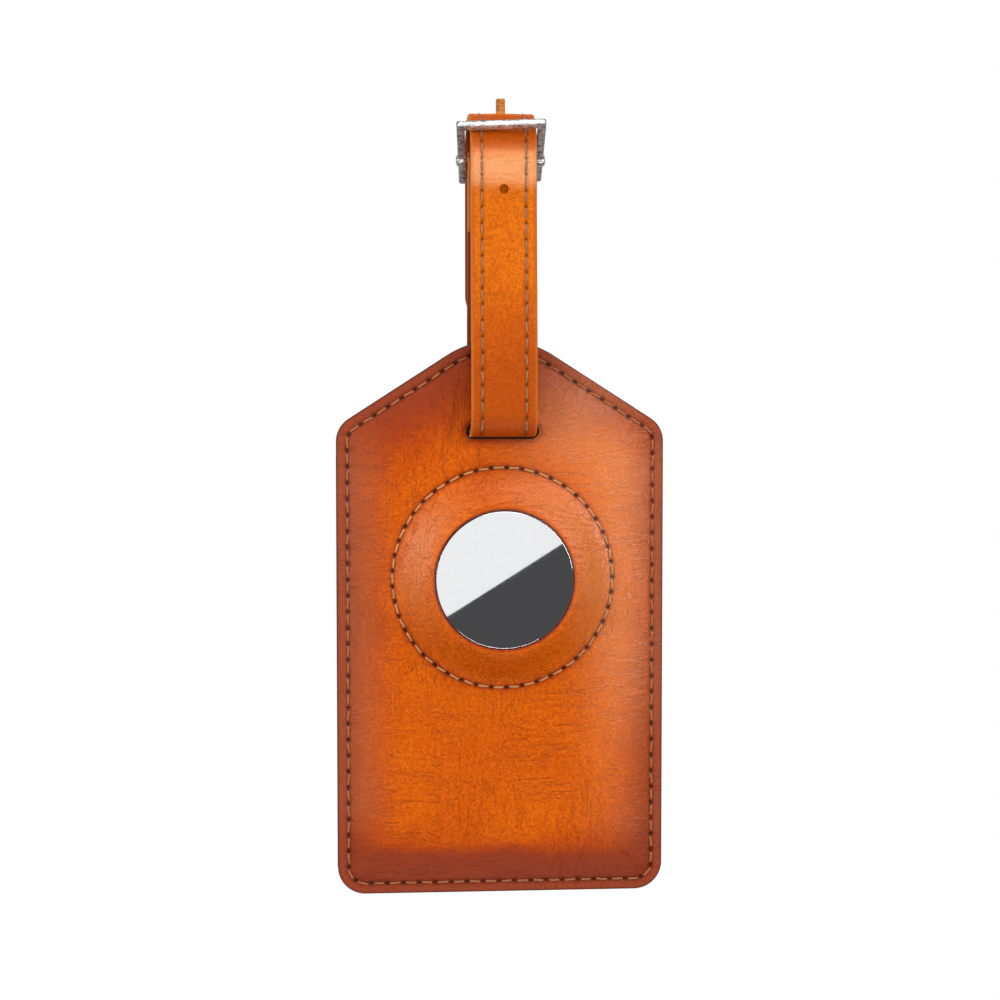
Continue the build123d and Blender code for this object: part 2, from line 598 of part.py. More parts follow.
def make_strap_thread():
    """Stitches on the grain side, on the lining side and round the tip of the tail."""
    outer = strap_route()
    inner = strap_route(True)
    flap_end = FLAP_LENGTH - FLAP_LEAN
    back_start = outer.length - inner.length - flap_end
    grain = STRAP_LEATHER + STRAP_THREAD_PROUD / 2 + sagitta(BOW_RADIUS / 2)
    lining = -(STRAP_LINING + STRAP_THREAD_PROUD / 2 + sagitta(ARC_RADIUS - STRAP_LINING))
    tip = STRAP_WIDTH / 2
    above_bend = SLOT_Z + LEG_GAP + STRAP_THICKNESS + STRAP_PITCH / 2
    marks = strap_row(outer, grain, STRAP_SEAM_START, flap_end - STRAP_SEAM_START)
    marks += strap_row(outer, grain, back_start, outer.length - tip)
    marks += strap_row(inner, lining, STRAP_SEAM_START, inner.length - tip, above_bend)
    turn = CenterArc((STRAP_X, TAIL_TIP_Z + tip), tip - STRAP_SEAM_INSET, 180, 180)
    curve = stitches_along(turn, STRAP_PITCH)
    tail = CROSSBAR_Y + ARC_RADIUS
    marks.append(slab(curve, tail + STRAP_LEATHER, tail + STRAP_LEATHER + STRAP_THREAD_PROUD))
    marks.append(slab(curve, tail - STRAP_LINING - STRAP_THREAD_PROUD, tail - STRAP_LINING))
    return marks


# ------------------------------------------------------------------ buckle
def buckle_plane():
    """Plane of the ring: X across, Y towards the front bar, origin at the middle of the crossbar."""
    lean = radians(BUCKLE_LEAN)
    return Plane((STRAP_X, CROSSBAR_Y, CROSSBAR_Z), x_dir=(1, 0, 0), z_dir=(0, -sin(lean), -cos(lean)))


def ring_outline(end_bar, side_bar, corner, heel_corner):
    """Ring outline, drawn in by a bar's width at the ends and at the sides."""
    top = FRONT_REACH + END_BAR / 2 - end_bar
    bottom = -REAR_REACH - END_BAR / 2 + end_bar
    front = FRONT_WIDTH / 2 - side_bar
    rear = REAR_WIDTH / 2 - side_bar
    face = Polygon((-front, top), (front, top), (rear, bottom), (-rear, bottom), align=None)
    face = fillet(face.vertices().group_by(Axis.Y)[-1], corner)
    return fillet(face.vertices().group_by(Axis.Y)[0], heel_corner)


def make_buckle_ring():
    outer = ring_outline(0, 0, RING_CORNER, RING_HEEL_CORNER)
    inner = ring_outline(END_BAR, SIDE_BAR, RING_CORNER * 0.5, RING_HEEL_CORNER * 0.5)
    flat = Rot(0, 0, BUCKLE_SKEW) * (outer - inner)
    ring = extrude(buckle_plane() * flat, BAR_THICKNESS / 2, both=True)
    return fillet(ring.edges(), RING_ROUND)


def make_buckle_crossbar(ring):
    """Wire across the ring, its ends folded round the side bars as clamps."""
    share = REAR_REACH / (FRONT_REACH + REAR_REACH)
    outside = (REAR_WIDTH + (FRONT_WIDTH - REAR_WIDTH) * share) / 2
    wire = extrude(Plane.YZ * Pos(CROSSBAR_Y, CROSSBAR_Z) * Circle(CROSSBAR_DIAMETER / 2), outside, both=True)
    bar = Pos(STRAP_X, 0, 0) * wire
    block = Box(SIDE_BAR + 2 * CLAMP_WALL, CLAMP_LENGTH, BAR_THICKNESS + 2 * CLAMP_WALL)
    for side in (-1, 1):
        bar += buckle_plane() * Pos(side * (outside - SIDE_BAR / 2), 0, 0) * block
    return bar - ring


def make_buckle_prong():
    """Flat-topped prong that turns on the crossbar."""
    eye = CROSSBAR_DIAMETER / 2 + PRONG_PLAY
    across = Plane.YZ * Pos(CROSSBAR_Y, CROSSBAR_Z)
    loop = extrude(across * (Circle(eye + PRONG_EYE_WALL) - Circle(eye)), PRONG_WIDTH / 2, both=True)
    foot = eye + PRONG_EYE_WALL * 0.5
    pin = Pos(0, CROSSBAR_Y, CROSSBAR_Z + (foot + PRONG_LENGTH) / 2) * Box(
        PRONG_WIDTH, PRONG_THICKNESS, PRONG_LENGTH - foot)
    pin = fillet(pin.faces().sort_by(Axis.Z)[-1].edges(), PRONG_THICKNESS * 0.25)
    return Pos(STRAP_X, 0, 0) * (loop + pin)


# ------------------------------------------------------------------ seams of the tag
def outline_path(inset):
    return tag_outline(inset).face().outer_wire()


def over_pocket(spot):
    """True where the pocket's stitched edge lies under a stitch."""
    return spot.X < POCKET_RIGHT - TAG_PITCH / 2 and spot.Y < POCKET_TOP_Z - TAG_PITCH / 2


def beside_pocket(spot):
    return spot.X > POCKET_RIGHT + THREAD / 2 or spot.Y > POCKET_TOP_Z + TAG_PITCH / 2


def raised(sketch, floor, outwards):
    """Stitches whose flat side lies on the floor of a groove, standing a little proud of the leather."""
    height = SEAM_GROOVE + THREAD_PROUD
    return slab(sketch, floor - height, floor) if outwards < 0 else slab(sketch, floor, floor + height)


def make_edge_thread():
    """Perimeter seam, seen on the front border and on the back."""
    path = outline_path(SEAM_INSET)
    front = raised(stitches_along(path, TAG_PITCH), BORDER_Y + SEAM_GROOVE, -1)
    pocket = raised(stitches_along(path, TAG_PITCH, over_pocket), POCKET_EDGE_Y - SEAM_GROOVE, 1)
    back = raised(stitches_along(path, TAG_PITCH, beside_pocket), BACK_Y - SEAM_GROOVE, 1)
    return [front, pocket, back]


def make_ring_thread():
    path = Pos(DISC_X, DISC_Z) * Circle(RING_SEAM_RADIUS)
    return raised(stitches_along(path.face().outer_wire(), RING_PITCH), PILLOW_Y + SEAM_GROOVE, -1)


def make_pocket_thread():
    """Row across the pocket's top edge and a row round its window."""
    inset = SEAM_INSET
    left = -TAG_WIDTH / 2 + 2 * inset
    row = Line((left, POCKET_TOP_Z - inset / 2), (POCKET_RIGHT - inset, POCKET_TOP_Z - inset / 2))
    window = card_window(inset).face().outer_wire()
    top = slab(stitches_along(row, TAG_PITCH), POCKET_EDGE_Y, POCKET_EDGE_Y + THREAD_PROUD)
    return [top, slab(stitches_along(window, TAG_PITCH), POCKET_FACE_Y, POCKET_FACE_Y + THREAD_PROUD)]


# ------------------------------------------------------------------ assembly
ring = make_buckle_ring()
export("front_panel", make_front_panel())
export("stiffener_board", make_stiffener_board())
export("back_panel", make_back_panel())
export("lining_patch", make_lining_patch())
export("card_pocket", make_card_pocket())
export("window_film", make_window_film())
export("address_card", make_address_card())
export("disc_shell", make_disc_shell())
export("disc_cover", make_disc_cover())
export("coin_cell", make_coin_cell())
export("cell_tray", make_cell_tray())
export("contact_springs", *make_contact_springs())
export("circuit_board", make_circuit_board())
export("board_chips", *make_chips())
export("speaker_magnet", make_speaker_magnet())
export("speaker_coil", make_speaker_coil())
export("cover_gasket", make_gasket())
export("strap_outer", make_strap_outer())
export("strap_lining", make_strap_lining())
export("buckle_ring", ring)
export("buckle_crossbar", make_buckle_crossbar(ring))
export("buckle_prong", make_buckle_prong())
export("edge_thread", *make_edge_thread())
export("ring_thread", make_ring_thread())
export("pocket_thread", *make_pocket_thread())
export("strap_thread", *make_strap_thread())
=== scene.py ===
# Looks of the leather luggage tag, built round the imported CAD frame. Objects are in metres; the
# shape helpers below work in millimetres, and mesh_from() converts.
import bpy
import numpy as np
from math import acos, ceil, copysign, cos, pi, radians, sin, tan
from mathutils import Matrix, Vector, geometry, noise


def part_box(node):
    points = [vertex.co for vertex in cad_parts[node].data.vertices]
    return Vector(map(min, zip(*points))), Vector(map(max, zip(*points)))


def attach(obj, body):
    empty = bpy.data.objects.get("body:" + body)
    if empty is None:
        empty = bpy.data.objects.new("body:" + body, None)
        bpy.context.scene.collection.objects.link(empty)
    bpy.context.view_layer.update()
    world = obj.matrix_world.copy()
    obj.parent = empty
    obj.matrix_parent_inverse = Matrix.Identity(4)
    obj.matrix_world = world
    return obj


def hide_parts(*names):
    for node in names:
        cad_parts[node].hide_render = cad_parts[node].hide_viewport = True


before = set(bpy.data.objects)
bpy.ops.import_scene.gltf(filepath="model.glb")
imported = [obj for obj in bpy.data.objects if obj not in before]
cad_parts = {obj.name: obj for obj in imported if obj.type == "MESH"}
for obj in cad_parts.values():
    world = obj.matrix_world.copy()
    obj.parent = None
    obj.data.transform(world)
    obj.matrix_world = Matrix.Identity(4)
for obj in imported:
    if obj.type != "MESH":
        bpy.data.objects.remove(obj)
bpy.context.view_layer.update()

MM = 0.001


def box_mm(node):
    low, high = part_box(node)
    return low / MM, high / MM


# ------------------------------------------------------------------ sizes, mm
BODY_LOW, BODY_HIGH = box_mm("front_panel")
COVER_LOW, COVER_HIGH = box_mm("disc_cover")
CARD_LOW, CARD_HIGH = box_mm("card_pocket")
BASE_Z = BODY_LOW.z
HALF_WIDTH = BODY_HIGH.x
SHOULDER = 86.0
ROOF_PITCH = radians(32.7)
APEX_RADIUS = 18.0
SHOULDER_RADIUS = 5.0
BOTTOM_RADIUS = 5.1
FRONT_LEATHER = 1.4
DOME_LEATHER = 1.15
BACK_LEATHER = box_mm("back_panel")[1].y
BOARD = 1.0
BOARD_INSET = 4.7
BOARD_BORE = 16.3
SLOT_HALF_LENGTH = 6.7
SLOT_HALF_HEIGHT = 1.45
SLOT_X, SLOT_Z = 0.3, BASE_Z + 85.2
REAR_SLOT_PLAY = 0.07
REAR_SLOT_ROOM = 0.15
REAR_SLOT_CORNER = 0.45
BOARD_SLOT_ROOM = 0.08
DISC_X, DISC_Z = 0.3, BASE_Z + 58.4
WINDOW_RADIUS = 12.7
DOME_FOOT = 19.6
DOME_CROWN = 13.3
DOME_HEIGHT = -BODY_LOW.y - FRONT_LEATHER - BOARD
RING_RADIUS = 20.2
EDGE_ROUND = 0.5
SEAM_INSET = 2.0
TAG_PITCH = 2.95
RING_PITCH = 2.8
STRAP_PITCH = 2.9
STRAP_X = 0.3
STRAP_HALF = 6.0
STRAP_LEATHER = 1.1
STRAP_LINING = 0.9
STRAP_SEAM = 4.0
THREAD_SINK = 0.12
POCKET_LEATHER = 1.2
POCKET_DEPTH = 1.4
CARD_WINDOW_HALF = (20.0, 25.0)
CARD_WINDOW_MIDDLE = (0.0, BASE_Z + 40.0)
CARD_WINDOW_CORNER = 3.0
THUMB_RADIUS = 12.0
THUMB_DEPTH = 3.5
CROSSBAR = (2.5, SLOT_Z + 49.3)
ARC_RADIUS = 6.4
ARC_Z = CROSSBAR[1] + 1.0
TAIL_TIP = ARC_Z - 31.5
HOLE_PITCH = 16.0
STRAP_HOLE_RADIUS = 0.85
PRONG_HOLE_RADIUS = 1.05
# Height of the painted highlight band on the strap's front leg.
STRAP_SHEEN_Z = ARC_Z - 2.7
FRONT_HOLE_LOWER = 0.6
WRAP_RADIUS = 0.55
FLAP_END = 9.4
BUCKLE_LEAN = radians(38)
BUCKLE_SKEW = radians(3)
FRONT_REACH, REAR_REACH = 9.6, 4.8
FRONT_WIDTH, REAR_WIDTH = 16.2, 15.2
RING_BAR = 1.5
RING_THICKNESS = 1.15
CLAMP_HALF_LENGTH = 0.95
CLAMP_WALL = 0.4
OUTLINE_STEP = 0.1
FRONT, REAR = (0, -1, 0), (0, 1, 0)


# ------------------------------------------------------------------ flat outlines
def lengths_along(line):
    return np.r_[0, np.cumsum(np.linalg.norm(np.diff(line, axis=0), axis=1))]


def at_lengths(line, lengths, at):
    """Points of a flat line at the given lengths along it."""
    return np.c_[np.interp(at, lengths, line[:, 0]), np.interp(at, lengths, line[:, 1])]


def unit(vectors):
    return vectors / np.linalg.norm(vectors, axis=1)[:, None]


def left_of(along):
    return np.c_[-along[:, 1], along[:, 0]]


def turns(count):
    """Even angles round a full turn."""
    return np.arange(count) / count * 2 * pi


def corner_arc(before, at, after, radius, step, least):
    """Points along the arc that rounds a corner."""
    before, at, after = (np.array(point, float) for point in (before, at, after))
    u = (before - at) / np.linalg.norm(before - at)
    v = (after - at) / np.linalg.norm(after - at)
    half = np.arccos(np.clip(u @ v, -1, 1)) / 2
    turn = pi - 2 * half
    reach = radius / tan(half)
    centre = at + (u + v) / np.linalg.norm(u + v) * radius / sin(half)
    start, end = at + u * reach - centre, at + v * reach - centre
    shares = np.linspace(0, 1, max(int(turn * radius / step), least))
    return [centre + start * sin((1 - t) * turn) / sin(turn) + end * sin(t * turn) / sin(turn)
            for t in shares]


def rounded(corners, radii, step=0.4):
    """Closed outline through rounded corners, counter-clockwise, as even points and inward normals."""
    dense = []
    for i, radius in enumerate(radii):
        dense += corner_arc(corners[i - 1], corners[i], corners[(i + 1) % len(corners)], radius, 0.05, 3)
    loop = np.array(dense + dense[:1])
    lengths = lengths_along(loop)
    count = int(round(lengths[-1] / step))
    points = at_lengths(loop, lengths, np.arange(count) / count * lengths[-1])
    return points, left_of(unit(np.roll(points, -1, axis=0) - np.roll(points, 1, axis=0)))


def tag_outline(step=0.4):
    peak = SHOULDER + HALF_WIDTH * tan(ROOF_PITCH)
    corners = [(-HALF_WIDTH, 0), (HALF_WIDTH, 0), (HALF_WIDTH, SHOULDER), (0, peak), (-HALF_WIDTH, SHOULDER)]
    radii = [BOTTOM_RADIUS, BOTTOM_RADIUS, SHOULDER_RADIUS, APEX_RADIUS, SHOULDER_RADIUS]
    return rounded([(x, z + BASE_Z) for x, z in corners], radii, step)


def under_roof(points, lower=0.0):
    return points[:, 1] < BASE_Z + SHOULDER - lower + (HALF_WIDTH - np.abs(points[:, 0])) * tan(ROOF_PITCH)


def rect_loop(half_x, half_z, middle, radius, step=0.4):
    """Rounded rectangle as even points."""
    corners = [(middle[0] + sx * half_x, middle[1] + sz * half_z)
               for sx, sz in ((-1, -1), (1, -1), (1, 1), (-1, 1))]
    return rounded(corners, [radius] * 4, step)[0]


def rect_distance(points, half_x, half_z, middle, radius=0.0):
    """Distance outside a rounded rectangle, negative inside."""
    dx = np.abs(points[:, 0] - middle[0]) - half_x + radius
    dz = np.abs(points[:, 1] - middle[1]) - half_z + radius
    return np.hypot(np.maximum(dx, 0), np.maximum(dz, 0)) + np.minimum(np.maximum(dx, dz), 0) - radius


def slot_loop(grow=0.0):
    height = SLOT_HALF_HEIGHT + grow
    return rect_loop(SLOT_HALF_LENGTH + grow, height, (SLOT_X, SLOT_Z), height * 0.98, 0.3)


def slot_distance(points):
    """Distance from the front slot's edge, negative inside."""
    dx = np.maximum(np.abs(points[:, 0] - SLOT_X) - (SLOT_HALF_LENGTH - SLOT_HALF_HEIGHT), 0)
    return np.hypot(dx, points[:, 1] - SLOT_Z) - SLOT_HALF_HEIGHT


def rear_slot_size(room):
    return STRAP_HALF + REAR_SLOT_PLAY, (STRAP_LEATHER + STRAP_LINING) / 2 + room


def rear_slot_loop(room, grow=0.0):
    """Slot in the back leather or the board, cut close round the strap."""
    half_x, half_z = rear_slot_size(room)
    return rect_loop(half_x + grow, half_z + grow, (SLOT_X, SLOT_Z), REAR_SLOT_CORNER + grow, 0.15)


def rear_slot_distance(points, room):
    return rect_distance(points, *rear_slot_size(room), (SLOT_X, SLOT_Z))


def card_window_loop(grow=0.0, step=0.4):
    return rect_loop(*(half + grow for half in CARD_WINDOW_HALF), CARD_WINDOW_MIDDLE,
                     CARD_WINDOW_CORNER + grow, step)


def card_window_distance(points):
    return rect_distance(points, *CARD_WINDOW_HALF, CARD_WINDOW_MIDDLE, CARD_WINDOW_CORNER)


def disc_circle(radius, step=0.42):
    angles = turns(int(round(2 * pi * radius / step)))
    return np.c_[DISC_X + radius * np.cos(angles), DISC_Z + radius * np.sin(angles)]


def disc_radius(points):
    return np.hypot(points[:, 0] - DISC_X, points[:, 1] - DISC_Z)


def nearest_target(points, targets, chunk=2000):
    """Distance from each point to its nearest target, and that target's number."""
    squares, number = np.empty(len(points)), np.empty(len(points), int)
    for i in range(0, len(points), chunk):
        apart = ((points[i:i + chunk, None] - targets[None]) ** 2).sum(2)
        squares[i:i + chunk], number[i:i + chunk] = apart.min(1), apart.argmin(1)
    return np.sqrt(squares), number


def nearest(points, targets):
    return nearest_target(points, targets)[0]


def seam_spots(loop, pitch, closed=True):
    """Even stitch centres, directions and needle holes along a flat line."""
    line = np.vstack([loop, loop[:1]]) if closed else loop
    lengths = lengths_along(line)
    count = int(round(lengths[-1] / pitch))
    middles = (np.arange(count) + 0.5) / count * lengths[-1]
    ends = np.arange(count + (not closed)) / count * lengths[-1]
    along = at_lengths(line, lengths, middles + 0.3) - at_lengths(line, lengths, middles - 0.3)
    return at_lengths(line, lengths, middles), unit(along), at_lengths(line, lengths, ends)


def fbm(points, scale, seed, detail=3):
    """Smooth noise in about -1..1 at flat points; scale in mm."""
    return np.array([noise.fractal(Vector((x / scale, z / scale, seed)), 1.0, 2.0, detail)
                     for x, z in points])


def bump(x, width):
    return np.exp(-(x / width) ** 2)


def smooth(t):
    t = np.clip(t, 0, 1)
    return t * t * (3 - 2 * t)


def edge_fall(inset, radius=EDGE_ROUND):
    """How far a rounded edge falls away from the flat."""
    return radius - np.sqrt(np.maximum(radius ** 2 - np.maximum(radius - inset, 0) ** 2, 0))


def at_level(flat, y):
    """Flat (x, z) points or directions as points at a level of Y."""
    return np.c_[flat[:, 0], np.full(len(flat), y, float), flat[:, 1]]


# ------------------------------------------------------------------ meshes
def mesh_from(name, verts, faces, body, replaces, attributes=None, sharp=50):
    """Object from millimetre points, smooth-shaded, riding on a body."""
    mesh = bpy.data.meshes.new(name)
    mesh.from_pydata([tuple(v) for v in np.asarray(verts) * MM], [], [tuple(f) for f in faces])
    for key, values in (attributes or {}).items():
        mesh.attributes.new(key, "FLOAT", "POINT").data.foreach_set("value", np.asarray(values, np.float32))
    mesh.validate()
    mesh.shade_smooth()
    mesh.set_sharp_from_angle(angle=radians(sharp))
    piece = bpy.data.objects.new(name, mesh)
    bpy.context.scene.collection.objects.link(piece)
    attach(piece, body)
    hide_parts(replaces)
    return piece


def triangulate(points, loops, drop):
    """Delaunay triangles over flat points; loops are kept as edges, drop(centres) marks what is cut out."""
    coords, edges = list(points), []
    for loop, closed in loops:
        first = len(coords)
        coords += list(loop)
        count = len(loop)
        edges += [(first + i, first + (i + 1) % count) for i in range(count if closed else count - 1)]
    result = geometry.delaunay_2d_cdt([Vector(c) for c in coords], edges, [], 0, 1e-5)
    flat = np.array([tuple(v) for v in result[0]])
    tris = np.array([f for f in result[2] if len(f) == 3])
    tris = tris[~drop(flat[tris].mean(1))]
    used = np.unique(tris)
    renumber = np.full(len(flat), -1)
    renumber[used] = np.arange(len(used))
    flat, tris = flat[used], renumber[tris]
    a, b, c = flat[tris[:, 0]], flat[tris[:, 1]], flat[tris[:, 2]]
    area = (b[:, 0] - a[:, 0]) * (c[:, 1] - a[:, 1]) - (b[:, 1] - a[:, 1]) * (c[:, 0] - a[:, 0])
    tris[area < 0] = tris[area < 0][:, ::-1]
    return flat, tris


def sheet_shell(name, flat, tris, front, back, replaces, attributes=None):
    """Closed shell of the tag between two levels of Y over flat triangles, with walls round every edge."""
    count = len(flat)
    pairs = {(t[i], t[(i + 1) % 3]): True for t in tris for i in range(3)}
    rim = [edge for edge in pairs if (edge[1], edge[0]) not in pairs]
    faces = [tuple(t) for t in tris] + [tuple(t[::-1] + count) for t in tris]
    faces += [(b, a, a + count, b + count) for a, b in rim]
    doubled = {key: np.r_[values, values] for key, values in (attributes or {}).items()}
    verts = np.vstack([at_level(flat, front), at_level(flat, back)])
    return mesh_from(name, verts, faces, "tag", replaces, doubled)


def hex_grid(low, high, step):
    rows = np.arange(low[1], high[1], step * 0.866)
    grid = [(x + (i % 2) * step / 2, z) for i, z in enumerate(rows) for x in np.arange(low[0], high[0], step)]
    return np.array(grid)


def tube_faces(rings, sides, closed=False):
    """Faces round a tube of vertex rings, with its two ends unless it is closed."""
    faces = []
    for k in range(rings if closed else rings - 1):
        a, b = k * sides, (k + 1) % rings * sides
        faces += [(a + j, b + j, b + (j + 1) % sides, a + (j + 1) % sides) for j in range(sides)]
    if not closed:
        last = (rings - 1) * sides
        faces += [tuple(range(sides)), tuple(last + j for j in reversed(range(sides)))]
    return faces


def shifted(faces, first):
    return [tuple(first + i for i in face) for face in faces]


def stitches(name, spots, along, out, length, radius, proud, body, replaces):
    """Thread that shows between needle holes: one bowed, round-ended stitch for each spot."""
    rings, sides, sink = 9, 10, 0.16
    t = np.linspace(-1, 1, rings)
    lift = proud * (1 - np.abs(t) ** 3) - (radius + sink) * np.abs(t) ** 6
    width = radius * np.sqrt(np.maximum(1 - np.abs(t) ** 7, 0.04))
    verts, faces = [], []
    for k in range(len(spots)):
        spot, u, n = (np.asarray(a[k], float) for a in (spots, along, out))
        side = np.cross(u, n)
        faces += shifted(tube_faces(rings, sides), len(verts))
        length_k = length * (1 + 0.05 * sin(k * 2.4))
        skew = 0.09 * sin(k * 1.7)
        u_k = u * cos(skew) + side * sin(skew)
        for i in range(rings):
            middle = spot + u_k * t[i] * length_k / 2 + n * lift[i]
            verts += [middle + side * cos(a) * width[i] + n * sin(a) * width[i] * 0.72 for a in turns(sides)]
    return mesh_from(name, verts, faces, body, replaces, sharp=80)


# ------------------------------------------------------------------ tag body
RINGS = (0.0, 0.08, 0.2, 0.35, 0.5, 0.9, 1.3, 1.55, 1.75, 2.0, 2.25, 2.45, 2.75, 3.1, 3.5, 4.0, 4.6, 5.3)
DOME_RINGS = (12.76, 12.85, 12.97, 13.15, 13.4, 13.8, 14.4, 15.1, 15.9, 16.7, 17.5, 18.2, 18.8, 19.25, 19.6,
              19.85, 20.0, 20.2, 20.4, 20.6, 20.9, 21.4)


def body_points(with_dome):
    """Flat points of a body panel: rings along the outline, rings round the dome and a grid between."""
    outline, inward = tag_outline()
    rings = [outline + inward * d for d in RINGS[1:]]
    grid = hex_grid((-HALF_WIDTH, BASE_Z), (HALF_WIDTH, BODY_HIGH.z), 0.85)
    inside = (nearest(grid, outline) > RINGS[-1] + 0.4) & under_roof(grid) & (slot_distance(grid) > 1.0)
    inside &= (np.abs(grid[:, 0]) < HALF_WIDTH) & (grid[:, 1] > BASE_Z)
    if with_dome:
        inside &= disc_radius(grid) > RING_RADIUS + 1.6
        rings += [disc_circle(r) for r in DOME_RINGS]
    for d in (0.1, 0.2, 0.35, 0.6, 0.9):
        rings.append(slot_loop(d) if with_dome else rear_slot_loop(REAR_SLOT_ROOM, d))
    return outline, np.vstack([grid[inside]] + rings)


def seam_marks_with_hole_shade(points, holes, line_distance):
    """Darkness of the seam: needle holes painted dark as painted shade in the holes, and the pressed line
    between them.
    """
    return np.clip(1.2 * bump(nearest(points, holes), 0.36) + 0.42 * bump(line_distance, 0.3), 0, 1)


def dome_rise(t):
    """Height of the dome from its foot, 0, to its crown, 1: a soft S with a steady slope."""
    return DOME_HEIGHT * (0.45 * t + 0.55 * smooth(t))


def front_height(flat, inset, dome_t, holes, ring_holes):
    """Height of the front face over its flat border: pillow, dome, seams, slot and wrinkles."""
    radius = disc_radius(flat)
    pillow = BOARD * (1 - (1 - np.clip((inset - 2.25) / 7.0, 0, 1)) ** 3.2)
    rim = edge_fall(radius - WINDOW_RADIUS, 0.35)
    height = pillow + dome_rise(dome_t) - rim * (radius < DOME_CROWN + 0.5) - edge_fall(inset)
    height -= 0.14 * bump(inset - SEAM_INSET, 0.4) + 0.42 * bump(nearest(flat, holes), 0.36)
    height -= 0.2 * bump(radius - RING_RADIUS, 0.45) + 0.45 * bump(nearest(flat, ring_holes), 0.38)
    height += 0.1 * bump(radius - RING_RADIUS - 1.7, 1.1)
    height -= 0.3 * bump(slot_distance(flat), 0.45)
    calm = smooth((inset - 3) / 5)
    return height + calm * 0.05 * fbm(flat, 9.0, 3.1) + 0.015 * fbm(flat, 1.7, 7.7)


def burnish_and_shade(flat, inset):
    """0 in the orange middle to 1 at the dark rubbed edge, stronger at the corners, roof and foot, and weaker
    on the right flank as painted light where the right lamp's sheen falls.
    """
    height = flat[:, 1] - BASE_Z
    wander = fbm(flat, 20.0, 1.3) * 2.6 + fbm(flat, 6.0, 5.2) * 0.8
    roof = smooth((height - 72) / 28)
    foot = smooth((14 - height) / 14)
    # Painted light: the right flank is darkened less, kept lighter where the right lamp's sheen falls.
    flank = smooth(flat[:, 0] / 20) * smooth((height - 20) / 25) * (1 - roof)
    reach = 6.7 + 5.0 * roof + 2.4 * foot - 1.6 * flank
    depth = np.maximum(inset + wander * smooth(inset / 5), 0)
    corner = bump(np.hypot(np.abs(flat[:, 0]) - HALF_WIDTH, height), 12)
    rim = np.exp(-(depth / reach) ** 1.5) * (0.86 + 0.15 * foot - 0.12 * flank) + 0.45 * corner
    band = 0.92 * smooth((10.6 + 0.5 * wander - height) / 4.5)
    turned_edge = 0.25 * smooth((1.7 - inset) / 1.2)
    return np.clip(np.maximum(rim, band) + turned_edge, 0, 1)


def puckered(flat, inset):
    """Where the leather puckers in from the seam, more on the right."""
    fade = smooth((inset - 2.3) / 1.5) * np.exp(-(inset / 10) ** 2)
    return fade * (0.4 + 0.6 * smooth((flat[:, 0] + 5) / 20)) * (0.9 + 0.6 * fbm(flat, 14.0, 6.4))


def gloss_and_sheen_map(flat, inset):
    """Where the leather is glossier and painted paler as a painted highlight: its flanks, the dome's upper
    flanks, the roof and the rounded border.
    """
    x, height = flat[:, 0], flat[:, 1] - BASE_Z
    side = smooth((90 - height) / 14)
    right = bump(x - 22, 6) * (0.25 * smooth((height - 6) / 8) + 0.65 * smooth((height - 20) / 30)) * side
    left = 0.26 * bump(x + 25.5, 4) * smooth((height - 8) / 10) * side
    # The dome's painted sheen faces up to the right and up to the left, where the lamps' highlights fall.
    angle = np.arctan2(flat[:, 1] - DISC_Z, x - DISC_X)
    aim = np.maximum(np.cos(angle - 0.5), 0) ** 2 + 0.7 * np.maximum(np.cos(angle - 2.9), 0) ** 3
    dome = bump(disc_radius(flat) - 16.3, 2.8) * aim
    roof = 0.8 * bump(x - 13, 9) * bump(height - 86, 9)
    # The border's light rim is a painted highlight on the rounded edge.
    border = 0.1 * bump(inset - 0.8, 0.45)
    return np.clip(right + left + dome + roof + border, 0, 1)


def front_marks(flat, inset, run, holes):
    """Attributes of the front leather, each point's value for its material."""
    radius = disc_radius(flat)
    # Darker round the slot: painted shade where the strap covers it.
    rub = np.maximum(burnish_and_shade(flat, inset), 0.45 * bump(slot_distance(flat), 1.2))
    rub = np.maximum(rub, 0.28 * bump(radius - RING_RADIUS, 0.9))
    rub = np.maximum(rub, 0.9 * bump(np.maximum(radius - WINDOW_RADIUS, 0), 0.3) * (radius < 13.5))
    to_seam = np.minimum(np.abs(inset - SEAM_INSET), np.abs(radius - RING_RADIUS))
    return {"burnish_and_shade": rub, "seam": seam_marks_with_hole_shade(flat, holes, to_seam), "edge": bump(inset, 0.16),
            "gloss_and_painted_sheen": gloss_and_sheen_map(flat, inset), "run": run, "inset": inset, "pucker": puckered(flat, inset)}


def make_front_panel(holes, ring_holes):
    outline, points = body_points(True)

    def cut(centres):
        return (disc_radius(centres) < WINDOW_RADIUS - 0.005) | (slot_distance(centres) < -0.01)
    loops = [(outline, True), (disc_circle(WINDOW_RADIUS), True), (slot_loop(), True)]
    flat, tris = triangulate(points, loops, cut)
    inset, number = nearest_target(flat, tag_outline(OUTLINE_STEP)[0])
    dome_t = np.clip((DOME_FOOT - disc_radius(flat)) / (DOME_FOOT - DOME_CROWN), 0, 1)
    front = -FRONT_LEATHER - front_height(flat, inset, dome_t, holes, ring_holes)
    thinned = (FRONT_LEATHER - DOME_LEATHER) * smooth(dome_t * 3)
    thinnest = 0.25
    back = -(BOARD * smooth((inset - 2.6) / 1.6) + dome_rise(dome_t) + thinned)
    marks = front_marks(flat, inset, number * OUTLINE_STEP, np.vstack([holes, ring_holes]))
    return sheet_shell("front_leather", flat, tris, front, np.maximum(back, front + thinnest),
                       "front_panel", marks)


